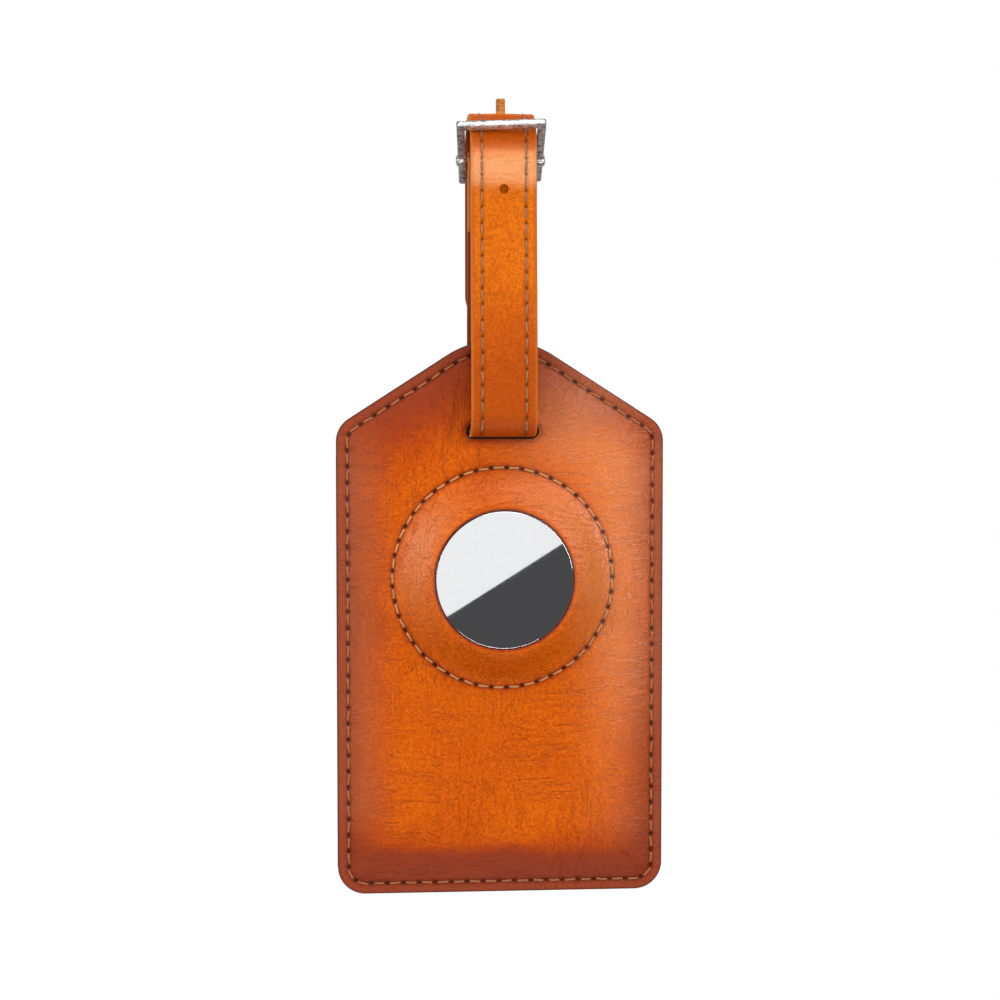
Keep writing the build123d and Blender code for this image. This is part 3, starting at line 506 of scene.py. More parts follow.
def make_back_panel(holes):
    outline, points = body_points(False)

    def cut(centres):
        return rear_slot_distance(centres, REAR_SLOT_ROOM) < -0.01
    flat, tris = triangulate(points, [(outline, True), (rear_slot_loop(REAR_SLOT_ROOM), True)], cut)
    inset = nearest(flat, tag_outline(OUTLINE_STEP)[0])
    uncovered = smooth(flat[:, 1] - CARD_HIGH.z) + smooth(flat[:, 0] - CARD_HIGH.x)
    uncovered = np.clip(uncovered, 0, 1)
    dent = 0.14 * bump(inset - SEAM_INSET, 0.35) + 0.3 * bump(nearest(flat, holes), 0.3)
    dent += edge_fall(np.maximum(rear_slot_distance(flat, REAR_SLOT_ROOM), 0), 0.9)
    back = BACK_LEATHER - edge_fall(inset) - dent * uncovered + 0.012 * fbm(flat, 2.0, 4.4) * uncovered
    # Darker round the slot: painted shade where the strap covers it.
    marks = {"burnish_and_shade": np.maximum(burnish_and_shade(flat, inset), 0.4 * bump(slot_distance(flat), 1.2)),
             "seam": seam_marks_with_hole_shade(flat, holes, np.abs(inset - SEAM_INSET)), "edge": bump(inset, 0.35)}
    return sheet_shell("back_leather", flat, tris, 0, np.minimum(back, BACK_LEATHER),
                       "back_panel", marks)


def make_board():
    """Stiffener between the panels, its slot close round the strap."""
    outline, inward = tag_outline(0.8)
    grid = hex_grid((-HALF_WIDTH, BASE_Z), (HALF_WIDTH, BODY_HIGH.z), 3.0)
    clear = (nearest(grid, outline) > BOARD_INSET + 1) & (rear_slot_distance(grid, BOARD_SLOT_ROOM) > 1)
    clear &= (disc_radius(grid) > BOARD_BORE + 1) & (np.abs(grid[:, 0]) < HALF_WIDTH - BOARD_INSET)
    clear &= under_roof(grid, 3)

    def cut(centres):
        outside = nearest(centres, outline) < BOARD_INSET - 0.05
        slotted = rear_slot_distance(centres, BOARD_SLOT_ROOM) < -0.01
        return (disc_radius(centres) < BOARD_BORE) | outside | slotted
    loops = [outline + inward * BOARD_INSET, disc_circle(BOARD_BORE, 0.8), rear_slot_loop(BOARD_SLOT_ROOM)]
    flat, tris = triangulate(grid[clear], [(loop, True) for loop in loops], cut)
    return sheet_shell("board", flat, tris, -BOARD, 0, "stiffener_board")


# ------------------------------------------------------------------ card pocket
def follow_corner(points, inset=0.0):
    """Points beyond the body's rounded lower corner, pulled in to it."""
    centre = np.array((HALF_WIDTH - BOTTOM_RADIUS, BASE_Z + BOTTOM_RADIUS))
    reach = points - centre
    distance = np.linalg.norm(reach, axis=1)
    limit = BOTTOM_RADIUS - inset
    beyond = (reach[:, 0] > 0) & (reach[:, 1] < 0) & (distance > limit)
    return centre + reach * np.where(beyond, limit / distance, 1)[:, None]


def within_corner(inset, beyond_x, beyond_z):
    """Inset, measured from the rounded corner where a point lies beyond its centre both ways."""
    return np.where((beyond_x > 0) & (beyond_z > 0), BOTTOM_RADIUS - np.hypot(beyond_x, beyond_z), inset)


def pocket_sheet(left, low, right, top):
    """Flat triangles of the pocket: its rings, its window, its thumb notch and a grid between."""
    corner = 0.3
    outline, inward = rounded([(left, low), (right, low), (right, top), (left, top)],
                              [BOTTOM_RADIUS, corner, corner, corner])
    rings = [follow_corner(outline + inward * d, d) for d in RINGS[1:]]
    rings += [card_window_loop(d) for d in (0.12, 0.3, 0.6, 1.5, 1.75, 2.0, 2.25, 2.5, 3.0)]
    grid = hex_grid((left, low), (right, top), 0.9)
    inset = np.minimum(np.minimum(grid[:, 0] - left, right - grid[:, 0]),
                       np.minimum(grid[:, 1] - low, top - grid[:, 1]))
    keep = (inset > RINGS[-1] + 0.4) & (card_window_distance(grid) > 3.3)
    keep &= (follow_corner(grid, 1.0) == grid).all(1)
    notch = (right + THUMB_RADIUS - THUMB_DEPTH, CARD_WINDOW_MIDDLE[1])
    half_turn = acos(1 - THUMB_DEPTH / THUMB_RADIUS)
    thumb = np.array([(notch[0] - THUMB_RADIUS * cos(a), notch[1] + THUMB_RADIUS * sin(a))
                      for a in np.linspace(-half_turn, half_turn, 44)])
    points = np.vstack([grid[keep]] + rings)

    def cut(centres):
        in_notch = np.hypot(*(centres - notch).T) < THUMB_RADIUS - 0.01
        return in_notch | (card_window_distance(centres) < -0.005)
    return triangulate(points[nearest(points, thumb) > 0.25],
                       [(follow_corner(outline), True), (card_window_loop(), True), (thumb, False)], cut)


def make_card_pocket(seam_holes):
    """The pocket, and its own stitches' centres and directions."""
    left, right, low, top = CARD_LOW.x, CARD_HIGH.x, CARD_LOW.z, CARD_HIGH.z
    flat, tris = pocket_sheet(left, low, right, top)
    x, z = flat[:, 0], flat[:, 1]
    sewn = np.minimum(np.minimum(x - left, z - low), top - z)
    sewn = within_corner(sewn, left + BOTTOM_RADIUS - x, low + BOTTOM_RADIUS - z)
    body_x, body_z = x - HALF_WIDTH + BOTTOM_RADIUS, BASE_Z + BOTTOM_RADIUS - z
    rim = np.minimum(sewn, within_corner(sewn, body_x, body_z))
    mouth = right - x
    to_window = card_window_distance(flat)
    centres, along, window_holes = seam_spots(card_window_loop(2, OUTLINE_STEP), TAG_PITCH)
    top_row = np.array([(left + 4.0 + at, top - 1.0) for at in np.arange(0, right - left - 6.0, 0.2)])
    top_centres, top_along, top_holes = seam_spots(top_row, TAG_PITCH, False)
    holes = np.vstack([seam_holes, window_holes, top_holes])
    edge_level = BACK_LEATHER + POCKET_LEATHER
    level = edge_level + POCKET_DEPTH * (1 - (1 - np.clip((sewn - 2.5) / 2.2, 0, 1)) ** 2)
    dent = 0.14 * bump(rim - SEAM_INSET, 0.35) * (rim < 2.8) + 0.28 * bump(nearest(flat, holes), 0.3)
    dent += 0.12 * bump(to_window - 2, 0.35) + edge_fall(np.maximum(to_window, 0), 0.4)
    dent += edge_fall(np.maximum(np.minimum(rim, mouth), 0), 0.4)
    rear = level - dent + 0.012 * fbm(flat, 2.0, 9.4)
    inner = BACK_LEATHER + POCKET_DEPTH * smooth((sewn - 3.4) / 0.8)
    rub = np.clip(1.05 - (np.minimum(rim, mouth + 1.0) + fbm(flat, 12.0, 2.2)) / 7.0, 0, 1)
    to_seam = np.minimum(np.abs(sewn - SEAM_INSET) + 9 * (sewn >= 2.6), np.abs(to_window - 2))
    marks = {"burnish_and_shade": np.maximum(rub, 0.5 * bump(np.maximum(to_window, 0), 0.8)),
             "seam": seam_marks_with_hole_shade(flat, holes, to_seam),
             "edge": bump(np.minimum(np.minimum(rim, mouth), np.maximum(to_window, 0)), 0.3)}
    pocket = sheet_shell("pocket_leather", flat, tris, np.minimum(inner, rear - 0.2), rear,
                         "card_pocket", marks)
    spots = np.vstack([at_level(centres, edge_level + POCKET_DEPTH - 0.08),
                       at_level(top_centres, edge_level - 0.06)])
    return pocket, spots, at_level(np.vstack([along, top_along]), 0)


# ------------------------------------------------------------------ strap
def fillet_path(corners, radii, step):
    """Dense points along straight runs joined by tangent arcs."""
    points = [np.array(corners[0], float)]
    for i, radius in enumerate(radii):
        points += corner_arc(*corners[i:i + 3], radius, step, 6)
    return points + [np.array(corners[-1], float)]


def arc(centre, radius, step):
    """Half turn over the top, from the front (-Y) to the back."""
    count = max(int(pi * radius / step), 10)
    return [np.array((centre[0] - radius * cos(a), centre[1] + radius * sin(a)))
            for a in np.linspace(0, pi, count)]


def strap_route(from_lining=False):
    """Glue line between the two leathers in (y, z), from the stitched flap to the tip of the tail."""
    y, z = CROSSBAR
    back, front_of_bar, flap = y + WRAP_RADIUS, y - WRAP_RADIUS, y + WRAP_RADIUS - 0.1
    gap = 2.2
    bow_back = BACK_LEATHER + gap + STRAP_LINING
    bow_front = -FRONT_LEATHER - BOARD - gap - STRAP_LINING
    slot_line = SLOT_Z - (STRAP_LEATHER + STRAP_LINING) / 2 + STRAP_LEATHER
    bend = gap + STRAP_LINING - 0.2
    front_top, tail = y - ARC_RADIUS, y + ARC_RADIUS
    start = (back, z - 13.1) if from_lining else (back, z)
    legs = fillet_path([start, (back, z - 16.0), (bow_back, SLOT_Z + 19.8), (bow_back, slot_line),
                        (bow_front, slot_line), (bow_front, SLOT_Z + 13.8), (front_top, z - 8.5),
                        (front_top, ARC_Z)], [12, 28, bend, bend, 28, 28], 0.2)
    wrap = fillet_path([(flap, z - 13.0), (flap, z - 3.6), (front_of_bar, z - 1.4), (front_of_bar, z)],
                       [1.6, 1.6], 0.1)
    over = arc(CROSSBAR, WRAP_RADIUS, 0.1)
    rest = legs + arc((y, ARC_Z), ARC_RADIUS, 0.2) + [np.array((tail, TAIL_TIP))]
    return even_line(np.array(rest if from_lining else wrap + over + rest))


def even_line(dense, step=0.33):
    """Resample at an even step; returns points, unit tangents, normals to the grain side and lengths."""
    dense = dense[np.r_[True, np.linalg.norm(np.diff(dense, axis=0), axis=1) > 1e-6]]
    lengths = lengths_along(dense)
    at = np.linspace(0, lengths[-1], int(ceil(lengths[-1] / step)) + 1)
    points = at_lengths(dense, lengths, at)
    along = unit(np.gradient(points, axis=0))
    return points, along, left_of(along), at


def tip_share(to_end):
    """Share of the strap's width that is left this far from the round tip."""
    t = np.clip(1 - to_end / STRAP_HALF, 0, 1)
    return np.sqrt(np.maximum(1 - t * t, 0.0004))


def in_slot(point, margin=0.0):
    """Whether a point (y, z) of the strap's route lies inside the tag's slot."""
    return point[1] < SLOT_Z + 1 and -FRONT_LEATHER - BOARD - margin < point[0] < BACK_LEATHER + margin


def seam_row(start, stop):
    """Needle holes of a strap seam, as lengths along the strap."""
    return np.linspace(start, stop, round((stop - start) / STRAP_PITCH) + 1)


# Insets from the strap's edge to its middle at which its section has points.
SECTION = np.array([0, 0.1, 0.25, 0.45, 0.9, 1.3, 1.6, 1.85, 2.0, 2.15, 2.4, 2.8, 3.5, 4.5, 5.3, STRAP_HALF])


def strap_sheet(name, route, thickness, hand, node, seed, rows):
    """Sweep one leather of the strap: hand 1 is the grain leather, -1 the lining."""
    points, along, normal, at = route
    holes_at = np.concatenate([seam_row(*row) for row in rows])
    insets = np.r_[SECTION, SECTION[-2::-1]]
    side = np.r_[-np.ones(len(SECTION) - 1), 0, np.ones(len(SECTION) - 1)]
    verts, marks = [], {"burnish_and_shade": [], "seam": [], "edge": [], "gloss_and_painted_sheen": []}
    for (y, z), out, k_at in zip(points, normal * hand, at):
        share = tip_share(at[-1] - k_at)
        # Painted highlight: a pale, glossier band on the front leg just below the arc, where a lamp's sheen
        # falls.
        painted_strap_sheen = np.exp(-((z - STRAP_SHEEN_Z) / 3.2) ** 4) * (y < 0)
        # Painted shade: darker down the front leg towards the slot, where it leans and faces down, and in a
        # band under the buckle's front bar, in its shadow.
        shade = (0.58 * smooth((SLOT_Z + 38 - z) / 38) + 0.42 * smooth((z - ARC_Z + 0.2) / 1.2)) * (y < 0)
        hole = bump(np.abs(holes_at - k_at).min(), 0.3) if share > 0.9 else 0
        hidden = in_slot((y, z))
        to_end = min(at[-1] - k_at, k_at)
        xs = side * (STRAP_HALF - insets) * share
        for x, inset in zip(xs, insets):
            line = bump(inset - STRAP_HALF + STRAP_SEAM, 0.3) * (not hidden)
            level = thickness - edge_fall(inset * share, 0.38) - 0.1 * line - 0.22 * line * hole
            if not hidden:
                level += 0.07 * bump(inset - STRAP_HALF, 3.5) - 0.07
                level += 0.02 * noise.noise(Vector((x / 3, k_at / 4, seed)))
            level = max(level - edge_fall(to_end, 0.3) * (to_end < 0.3), 0.05)
            verts.append((STRAP_X + x, y + out[0] * level, z + out[1] * level))
            marks["burnish_and_shade"].append(max(bump(inset * share, 0.4), shade))
            marks["seam"].append(min(1, 0.3 * line + line * hole))
            marks["edge"].append(bump(inset * share, 0.3))
            marks["gloss_and_painted_sheen"].append(painted_strap_sheen)
        verts += [(STRAP_X + x, y, z) for x in xs[::-1]]
        for key, value in (("burnish_and_shade", 1), ("seam", 0), ("edge", 1), ("gloss_and_painted_sheen", 0)):
            marks[key] += [value] * len(xs)
    faces = tube_faces(len(points), 2 * len(insets))
    if hand > 0:
        faces = [face[:1] + face[:0:-1] for face in faces]
    return mesh_from(name, verts, faces, "strap", node, marks, 45)


def drill(piece, cutters):
    """Cut holes in a piece with cutter objects, and remove the cutters."""
    for cutter in cutters:
        modifier = piece.modifiers.new("cut", "BOOLEAN")
        modifier.object = cutter
        modifier.solver = "EXACT"
    bpy.context.view_layer.update()
    shape = piece.evaluated_get(bpy.context.evaluated_depsgraph_get())
    mesh = bpy.data.meshes.new_from_object(shape)
    piece.modifiers.clear()
    piece.data = mesh
    for cutter in cutters:
        bpy.data.objects.remove(cutter)


def rod(radius, length, centre, axis, longer=0.0):
    """Cutter: a round rod along Y or Z, made longer each way along Y for a worn hole."""
    bpy.ops.mesh.primitive_cylinder_add(vertices=32, radius=radius * MM, depth=length * MM,
                                        location=Vector(centre) * MM)
    tool = bpy.context.object
    if axis == "Y":
        tool.rotation_euler.x = pi / 2
    for vert in tool.data.vertices:
        vert.co.y += copysign(longer * MM, vert.co.y)
    return tool


def hole_tools():
    """Cutters: a hole below the arc in front, two down the tail, and the one that the prong stands in."""
    first = ARC_Z - HOLE_PITCH + ARC_RADIUS * pi / 2
    front, tail = CROSSBAR[0] - ARC_RADIUS, CROSSBAR[0] + ARC_RADIUS
    places = ((front, first - FRONT_HOLE_LOWER), (tail, first), (tail, first - HOLE_PITCH))
    tools = [rod(STRAP_HOLE_RADIUS, 5, (STRAP_X, *place), "Y") for place in places]
    return tools + [rod(PRONG_HOLE_RADIUS, 6, (STRAP_X, CROSSBAR[0], ARC_Z + ARC_RADIUS), "Z", 0.74)]


def prong_slot_tool():
    bpy.ops.mesh.primitive_cube_add(size=1, location=Vector((STRAP_X, *CROSSBAR)) * MM)
    tool = bpy.context.object
    tool.scale = Vector((2.6, 3.7, 5.7)) * MM
    return tool


def strap_seam_spots(route, level, row, lowest=-999):
    """Stitch centres, directions and outward normals of both rows on one face of the strap."""
    points, along, normal, at = route
    holes = seam_row(*row)
    spots, directions, outs = [], [], []
    for middle_at in (holes[1:] + holes[:-1]) / 2:
        k = int(np.searchsorted(at, middle_at))
        if in_slot(points[k], 0.6) or points[k][1] < lowest:
            continue
        middle = points[k] + normal[k] * level
        for side in (-STRAP_SEAM, STRAP_SEAM):
            spots.append((STRAP_X + side, *middle))
            directions.append((0, *along[k]))
            outs.append((0, *(normal[k] * np.sign(level))))
    return spots, directions, outs


def make_strap():
    """The two leathers of the strap and the thread through them."""
    outer, inner = strap_route(), strap_route(True)
    outer_length, inner_length = outer[3][-1], inner[3][-1]
    flap_row = (1.0, FLAP_END - 1.0)
    outer_row = (outer_length - inner_length - FLAP_END, outer_length - STRAP_HALF)
    inner_row = (1.0, inner_length - STRAP_HALF)
    grain = strap_sheet("strap_leather", outer, STRAP_LEATHER, 1, "strap_outer", 2.0,
                        [flap_row, outer_row])
    lining = strap_sheet("strap_back", inner, STRAP_LINING, -1, "strap_lining", 8.0,
                         [inner_row])
    drill(grain, hole_tools() + [prong_slot_tool()])
    drill(lining, hole_tools())
    grain_level, lining_level = STRAP_LEATHER - THREAD_SINK, THREAD_SINK - STRAP_LINING
    rows = [strap_seam_spots(outer, grain_level, flap_row), strap_seam_spots(outer, grain_level, outer_row),
            strap_seam_spots(inner, lining_level, inner_row, SLOT_Z + 5.5)]
    turn = np.array([(STRAP_X - STRAP_SEAM * cos(a), TAIL_TIP + STRAP_HALF - STRAP_SEAM * sin(a))
                     for a in np.linspace(0, pi, 80)])
    middle, along, _ = seam_spots(turn, STRAP_PITCH, False)
    for level, out in ((grain_level, REAR), (lining_level, FRONT)):
        tail_spots = at_level(middle, CROSSBAR[0] + ARC_RADIUS + level)
        rows.append((tail_spots, at_level(along, 0), [out] * len(middle)))
    spots, directions, outs = (sum((list(row[k]) for row in rows), []) for k in range(3))
    thread = stitches("strap_seams", spots, directions, outs, STRAP_PITCH * 0.8, 0.16, 0.1, "strap",
                      "strap_thread")
    return grain, lining, thread


# ------------------------------------------------------------------ buckle
def on_ring(x, y, v):
    """Point of the leaning ring: x across, y towards its front bar, v through its thickness."""
    return (STRAP_X + x, CROSSBAR[0] - y * cos(BUCKLE_LEAN) - v * sin(BUCKLE_LEAN),
            CROSSBAR[1] + y * sin(BUCKLE_LEAN) - v * cos(BUCKLE_LEAN))


def quarter_arcs(middles, radius, start, steps=5):
    """Points along a quarter turn about each middle in turn, each beginning where the last one ended."""
    return [(x + radius * cos(a), y + radius * sin(a)) for quarter, (x, y) in enumerate(middles)
            for a in np.linspace(start, start + pi / 2, steps) + quarter * pi / 2]


def bar_profile(width, thickness, round_off):
    """Rounded rectangle, as points (across, through)."""
    a, b = width / 2 - round_off, thickness / 2 - round_off
    return quarter_arcs([(a, b), (-a, b), (-a, -b), (a, -b)], round_off, 0)


def ring_loop(front, rear, reach_front, reach_rear, radius):
    """Corner points of a trapezium with rounded corners, the same number for any size."""
    corners = [(-rear, -reach_rear), (rear, -reach_rear), (front, reach_front), (-front, reach_front)]
    return quarter_arcs([(x - copysign(radius, x), y - copysign(radius, y)) for x, y in corners], radius, pi)


def make_ring():
    """Cast ring: a trapezium with tight corners, a little crooked on its crossbar."""
    half = RING_BAR / 2
    front, rear = FRONT_WIDTH / 2, REAR_WIDTH / 2
    outer = ring_loop(front, rear, FRONT_REACH + half, REAR_REACH + half, 0.45)
    inner = ring_loop(front - RING_BAR, rear - RING_BAR, FRONT_REACH - half, REAR_REACH - half, 0.3)
    profile = bar_profile(RING_BAR, RING_THICKNESS, 0.2)
    verts = []
    for (ox, oy), (ix, iy) in zip(outer, inner):
        for across, through in profile:
            share = 0.5 - across / RING_BAR
            px, py = ox + (ix - ox) * share, oy + (iy - oy) * share
            verts.append(on_ring(px * cos(BUCKLE_SKEW) - py * sin(BUCKLE_SKEW),
                                 px * sin(BUCKLE_SKEW) + py * cos(BUCKLE_SKEW), through))
    return mesh_from("ring_bar", verts, tube_faces(len(outer), len(profile), True), "buckle",
                     "buckle_ring", sharp=40)


def make_crossbar():
    """Wire across the ring, each end folded round a side bar in a rounded band."""
    outside = (REAR_WIDTH + (FRONT_WIDTH - REAR_WIDTH) * REAR_REACH / (FRONT_REACH + REAR_REACH)) / 2
    rings, sides, radius = 24, 20, 0.5
    verts = [(STRAP_X + x, CROSSBAR[0] + radius * cos(a), CROSSBAR[1] + radius * sin(a))
             for x in np.linspace(-outside + 0.4, outside - 0.4, rings) for a in turns(sides)]
    faces = tube_faces(rings, sides)
    stations = np.linspace(-1, 1, 11)
    for side in (-1, 1):
        faces += shifted(tube_faces(len(stations), sides), len(verts))
        for t in stations:
            wall = CLAMP_WALL * (1 - abs(t) ** 3) ** 0.5 - 0.12 * (abs(t) == 1)
            for x, v in bar_profile(RING_BAR + 2 * wall, RING_THICKNESS + 2 * wall, 0.35 + wall / 2):
                towards_strap = x * side < 0
                x = max(abs(x) - wall * 0.6 * towards_strap, 0) * np.sign(x)
                verts.append(on_ring(side * (outside - RING_BAR / 2) + x, t * CLAMP_HALF_LENGTH, v))
    return mesh_from("crossbar_wire", verts, faces, "buckle", "buckle_crossbar")


# ------------------------------------------------------------------ finder disc's cover
def make_cover():
    """Polished cover: faintly crowned face, rounded edge and skirt."""
    radius, face, segments = WINDOW_RADIUS - 0.12, COVER_LOW.y, 160
    crown, edge, wall = 0.1, 0.2, 0.4
    flat_radius = radius - edge
    profile = [(flat_radius * t, face + crown * (t * t)) for t in np.linspace(0, 1, 24)[1:]]
    profile += [(flat_radius + edge * sin(a), face + crown + edge * (1 - cos(a)))
                for a in np.linspace(0.1, pi / 2, 12)]
    profile += [(radius, COVER_HIGH.y), (radius - wall, COVER_HIGH.y), (radius - wall, face + crown + 1.3)]
    verts = [(DISC_X, face, DISC_Z)]
    for r, y in profile:
        verts += [(DISC_X + r * cos(a), y, DISC_Z + r * sin(a)) for a in turns(segments)]
    verts.append((DISC_X, face + crown + 0.5, DISC_Z))
    last = 1 + (len(profile) - 1) * segments
    faces = [(0, 1 + i, 1 + (i + 1) % segments) for i in range(segments)]
    faces += shifted(tube_faces(len(profile), segments)[:-2], 1)
    faces += [(len(verts) - 1, last + (i + 1) % segments, last + i) for i in range(segments)]
    return mesh_from("steel_cover", verts, faces, "cover", "disc_cover", sharp=35)


# ------------------------------------------------------------------ materials
def rgba(colour):
    """Colour with its alpha, from three numbers, or from one for a grey."""
    return (*(colour if isinstance(colour, tuple) else (colour,) * 3), 1)


class Tree:
    """Node tree of a new material or world."""

    def __init__(self, owner):
        owner.use_nodes = True
        self.owner, self.nodes, self.links = owner, owner.node_tree.nodes, owner.node_tree.links

    def put(self, socket, value):
        """Link a socket to an output, or give it a value."""
        if hasattr(value, "links"):
            self.links.new(value, socket)
        else:
            socket.default_value = value

    def add(self, kind, **inputs):
        """New shader node, with its inputs by name."""
        node = self.nodes.new("ShaderNode" + kind)
        for name, value in inputs.items():
            self.put(node.inputs[name], value)
        return node

    def surface(self, **inputs):
        """Set the shader's inputs, with _ for a space in their names; returns the material."""
        for name, value in inputs.items():
            self.put(self.nodes["Principled BSDF"].inputs[name.replace("_", " ")], value)
        return self.owner

    def mapped(self, scale, turn=0.0):
        """Object coordinates at so many repeats per millimetre, for each axis or for all."""
        scales = scale if isinstance(scale, tuple) else (scale,) * 3
        return self.add("Mapping", Vector=self.add("TexCoord").outputs["Object"], Rotation=(0, turn, 0),
                        Scale=[s / MM for s in scales]).outputs["Vector"]

    def noise(self, vector, detail=4.0, rough=0.55, warp=0.0):
        return self.add("TexNoise", Vector=vector, Scale=1.0, Detail=detail, Roughness=rough,
                        Distortion=warp).outputs["Fac"]

    def ramp(self, source, *stops):
        """Colours between stops, each a place and a colour."""
        node = self.add("ValToRGB", Fac=source)
        elements = node.color_ramp.elements
        while len(elements) < len(stops):
            elements.new(0.5)
        for element, (place, colour) in zip(elements, stops):
            element.position = place
            element.color = rgba(colour)
        return node.outputs["Color"]

    def blend(self, factor, first, second, mode="MIX"):
        """Mix two colours by a factor."""
        node = self.add("Mix")
        node.data_type = "RGBA"
        node.blend_type = mode
        for socket, value in ((0, factor), (6, first), (7, second)):
            self.put(node.inputs[socket], rgba(value) if isinstance(value, tuple) else value)
        return node.outputs[2]

    def maths(self, kind, *values):
        node = self.add("Math")
        node.operation = kind
        for socket, value in zip(node.inputs, values):
            self.put(socket, value)
        return node.outputs[0]

    def attribute(self, name):
        node = self.add("Attribute")
        node.attribute_name = name
        return node.outputs["Fac"]

    def bump(self, height, strength, distance, base=None):
        """Bump of the shader's normal, over an earlier bump where one is given."""
        node = self.add("Bump", Height=height, Strength=strength, Distance=distance * MM)
        if base:
            self.put(node.inputs["Normal"], base)
        self.surface(Normal=node.outputs["Normal"])
        return node.outputs["Normal"]


def new_material(name):
    return Tree(bpy.data.materials.new(name))


def pebble(tree, size):
    """Leather grain: fine cells, sized in mm."""
    cells = tree.add("TexVoronoi", Vector=tree.mapped(1 / size), Scale=1.0)
    cells.feature = "DISTANCE_TO_EDGE"
    return tree.maths("MINIMUM", cells.outputs["Distance"], 0.22)


def ridges(tree, vector, width):
    """Thin wandering lines: 0 in the line, 1 away from it."""
    source = tree.noise(vector, detail=3, rough=0.5, warp=0.8)
    apart = tree.maths("ABSOLUTE", tree.maths("SUBTRACT", source, 0.5))
    return tree.maths("MINIMUM", tree.maths("DIVIDE", apart, width), 1.0)


def creases(tree):
    """Fine creases that run slantwise on the flanks and level across the foot, each in patches."""
    slanted = ridges(tree, tree.mapped((0.55, 0.55, 0.14), radians(28)), 0.035)
    level = ridges(tree, tree.mapped((0.10, 0.4, 0.5)), 0.03)
    patches = tree.noise(tree.mapped(0.045), detail=2)
    hide_slanted = tree.ramp(patches, (0.44, 1), (0.56, 0))
    hide_level = tree.ramp(patches, (0.46, 0), (0.58, 1))
    return tree.maths("MINIMUM", tree.maths("MAXIMUM", slanted, hide_slanted),
                      tree.maths("MAXIMUM", level, hide_level))


def puckers(tree):
    """Fine folds that run in from the seam: 0 in a fold, 1 where there is none."""
    place = tree.add("CombineXYZ", X=tree.maths("MULTIPLY", tree.attribute("run"), 0.6),
                     Y=tree.maths("MULTIPLY", tree.attribute("inset"), 0.16))
    flat = tree.maths("SUBTRACT", 1.0, tree.attribute("pucker"))
    return tree.maths("MAXIMUM", ridges(tree, place.outputs[0], 0.16), flat)


def grained(tree, cloud, cells, fine, folds, light, mid):
    """Leather's colour before it is rubbed: clouds, darker between the grain's cells and in folds."""
    body = tree.ramp(cloud, (0.3, mid), (0.62, light))
    valley = tree.ramp(cells, (0.0, (0.74, 0.66, 0.60)), (0.16, 1.04))
    body = tree.blend(0.8, body, valley, "MULTIPLY")
    fleck = tree.ramp(fine, (0.38, (0.82, 0.76, 0.7)), (0.62, (1.12, 1.17, 1.3)))
    body = tree.blend(0.8, body, fleck, "MULTIPLY")
    fold_tone = tree.ramp(folds, (0.0, (0.72, 0.62, 0.58)), (0.5, 1))
    return tree.blend(0.7, body, fold_tone, "MULTIPLY")


def rubbed(tree, body, deep):
    """Leather's colour, darkened and reddened by its burnish_and_shade attribute (rubbed edges, and painted
    shade), in streaks.
    """
    streaks = tree.noise(tree.mapped((0.5, 0.5, 0.16)), detail=4, warp=1.2)
    rub = tree.maths("ADD", tree.attribute("burnish_and_shade"),
                     tree.maths("MULTIPLY", tree.maths("SUBTRACT", streaks, 0.5), 0.28))
    shade = tree.ramp(rub, (0.02, 1), (0.3, (0.83, 0.66, 0.6)), (1.0, (0.5, 0.3, 0.3)))
    share = tree.ramp(rub, (0.12, 0), (0.55, 0.55), (0.95, 1))
    return tree.blend(share, tree.blend(1.0, body, shade, "MULTIPLY"), deep)


def leather(name, light, mid, deep, dark, edge_paint, painted_sheen_colour, grain=0.8, wrinkle=0.6, rough=(0.34, 0.46)):
    """Burnished grain leather. The burnish_and_shade attribute darkens it at its rubbed edges and as painted
    shade; the seam attribute darkens needle holes as painted shade, and the pressed seam line; the edge
    attribute gives its edge paint. The gloss_and_painted_sheen attribute makes it glossier and paints it
    paler as a painted highlight."""
    tree = new_material(name)
    cloud = tree.noise(tree.mapped(0.07), detail=5, warp=0.4)
    cells = pebble(tree, 0.5)
    fine = tree.noise(tree.mapped(1.6), detail=3, rough=0.6)
    folds = tree.maths("MINIMUM", creases(tree), puckers(tree))
    toned = rubbed(tree, grained(tree, cloud, cells, fine, folds, light, mid), deep)
    gloss_and_painted_sheen = tree.attribute("gloss_and_painted_sheen")
    # Painted highlight: paler where gloss_and_painted_sheen is high.
    toned = tree.blend(tree.maths("MULTIPLY", gloss_and_painted_sheen, 0.4), toned, painted_sheen_colour)
    # Painted shade: needle holes darkened, with the seam's pressed line.
    toned = tree.blend(tree.attribute("seam"), toned, dark)
    toned = tree.blend(tree.attribute("edge"), toned, edge_paint)
    dull = tree.maths("MULTIPLY_ADD", cloud, rough[1] - rough[0], rough[0])
    first = tree.bump(folds, wrinkle, 0.22)
    second = tree.bump(fine, grain, 0.16, first)
    tree.bump(cells, grain, 0.12, second)
    return tree.surface(Base_Color=toned,
                        Roughness=tree.maths("SUBTRACT", dull, tree.maths("MULTIPLY", gloss_and_painted_sheen, 0.12)),
                        Specular_IOR_Level=tree.maths("MULTIPLY_ADD", gloss_and_painted_sheen, 0.6, 0.07))


def thread(name, light, dark):
    """Waxed thread with twisted plies."""
    tree = new_material(name)
    plies = tree.add("TexWave", Vector=tree.mapped(1.6), Scale=1.0, Distortion=1.5).outputs["Fac"]
    tree.bump(plies, 0.6, 0.12)
    return tree.surface(Base_Color=tree.ramp(plies, (0.1, dark), (0.75, light)), Roughness=0.55,
                        Sheen_Weight=0.25)


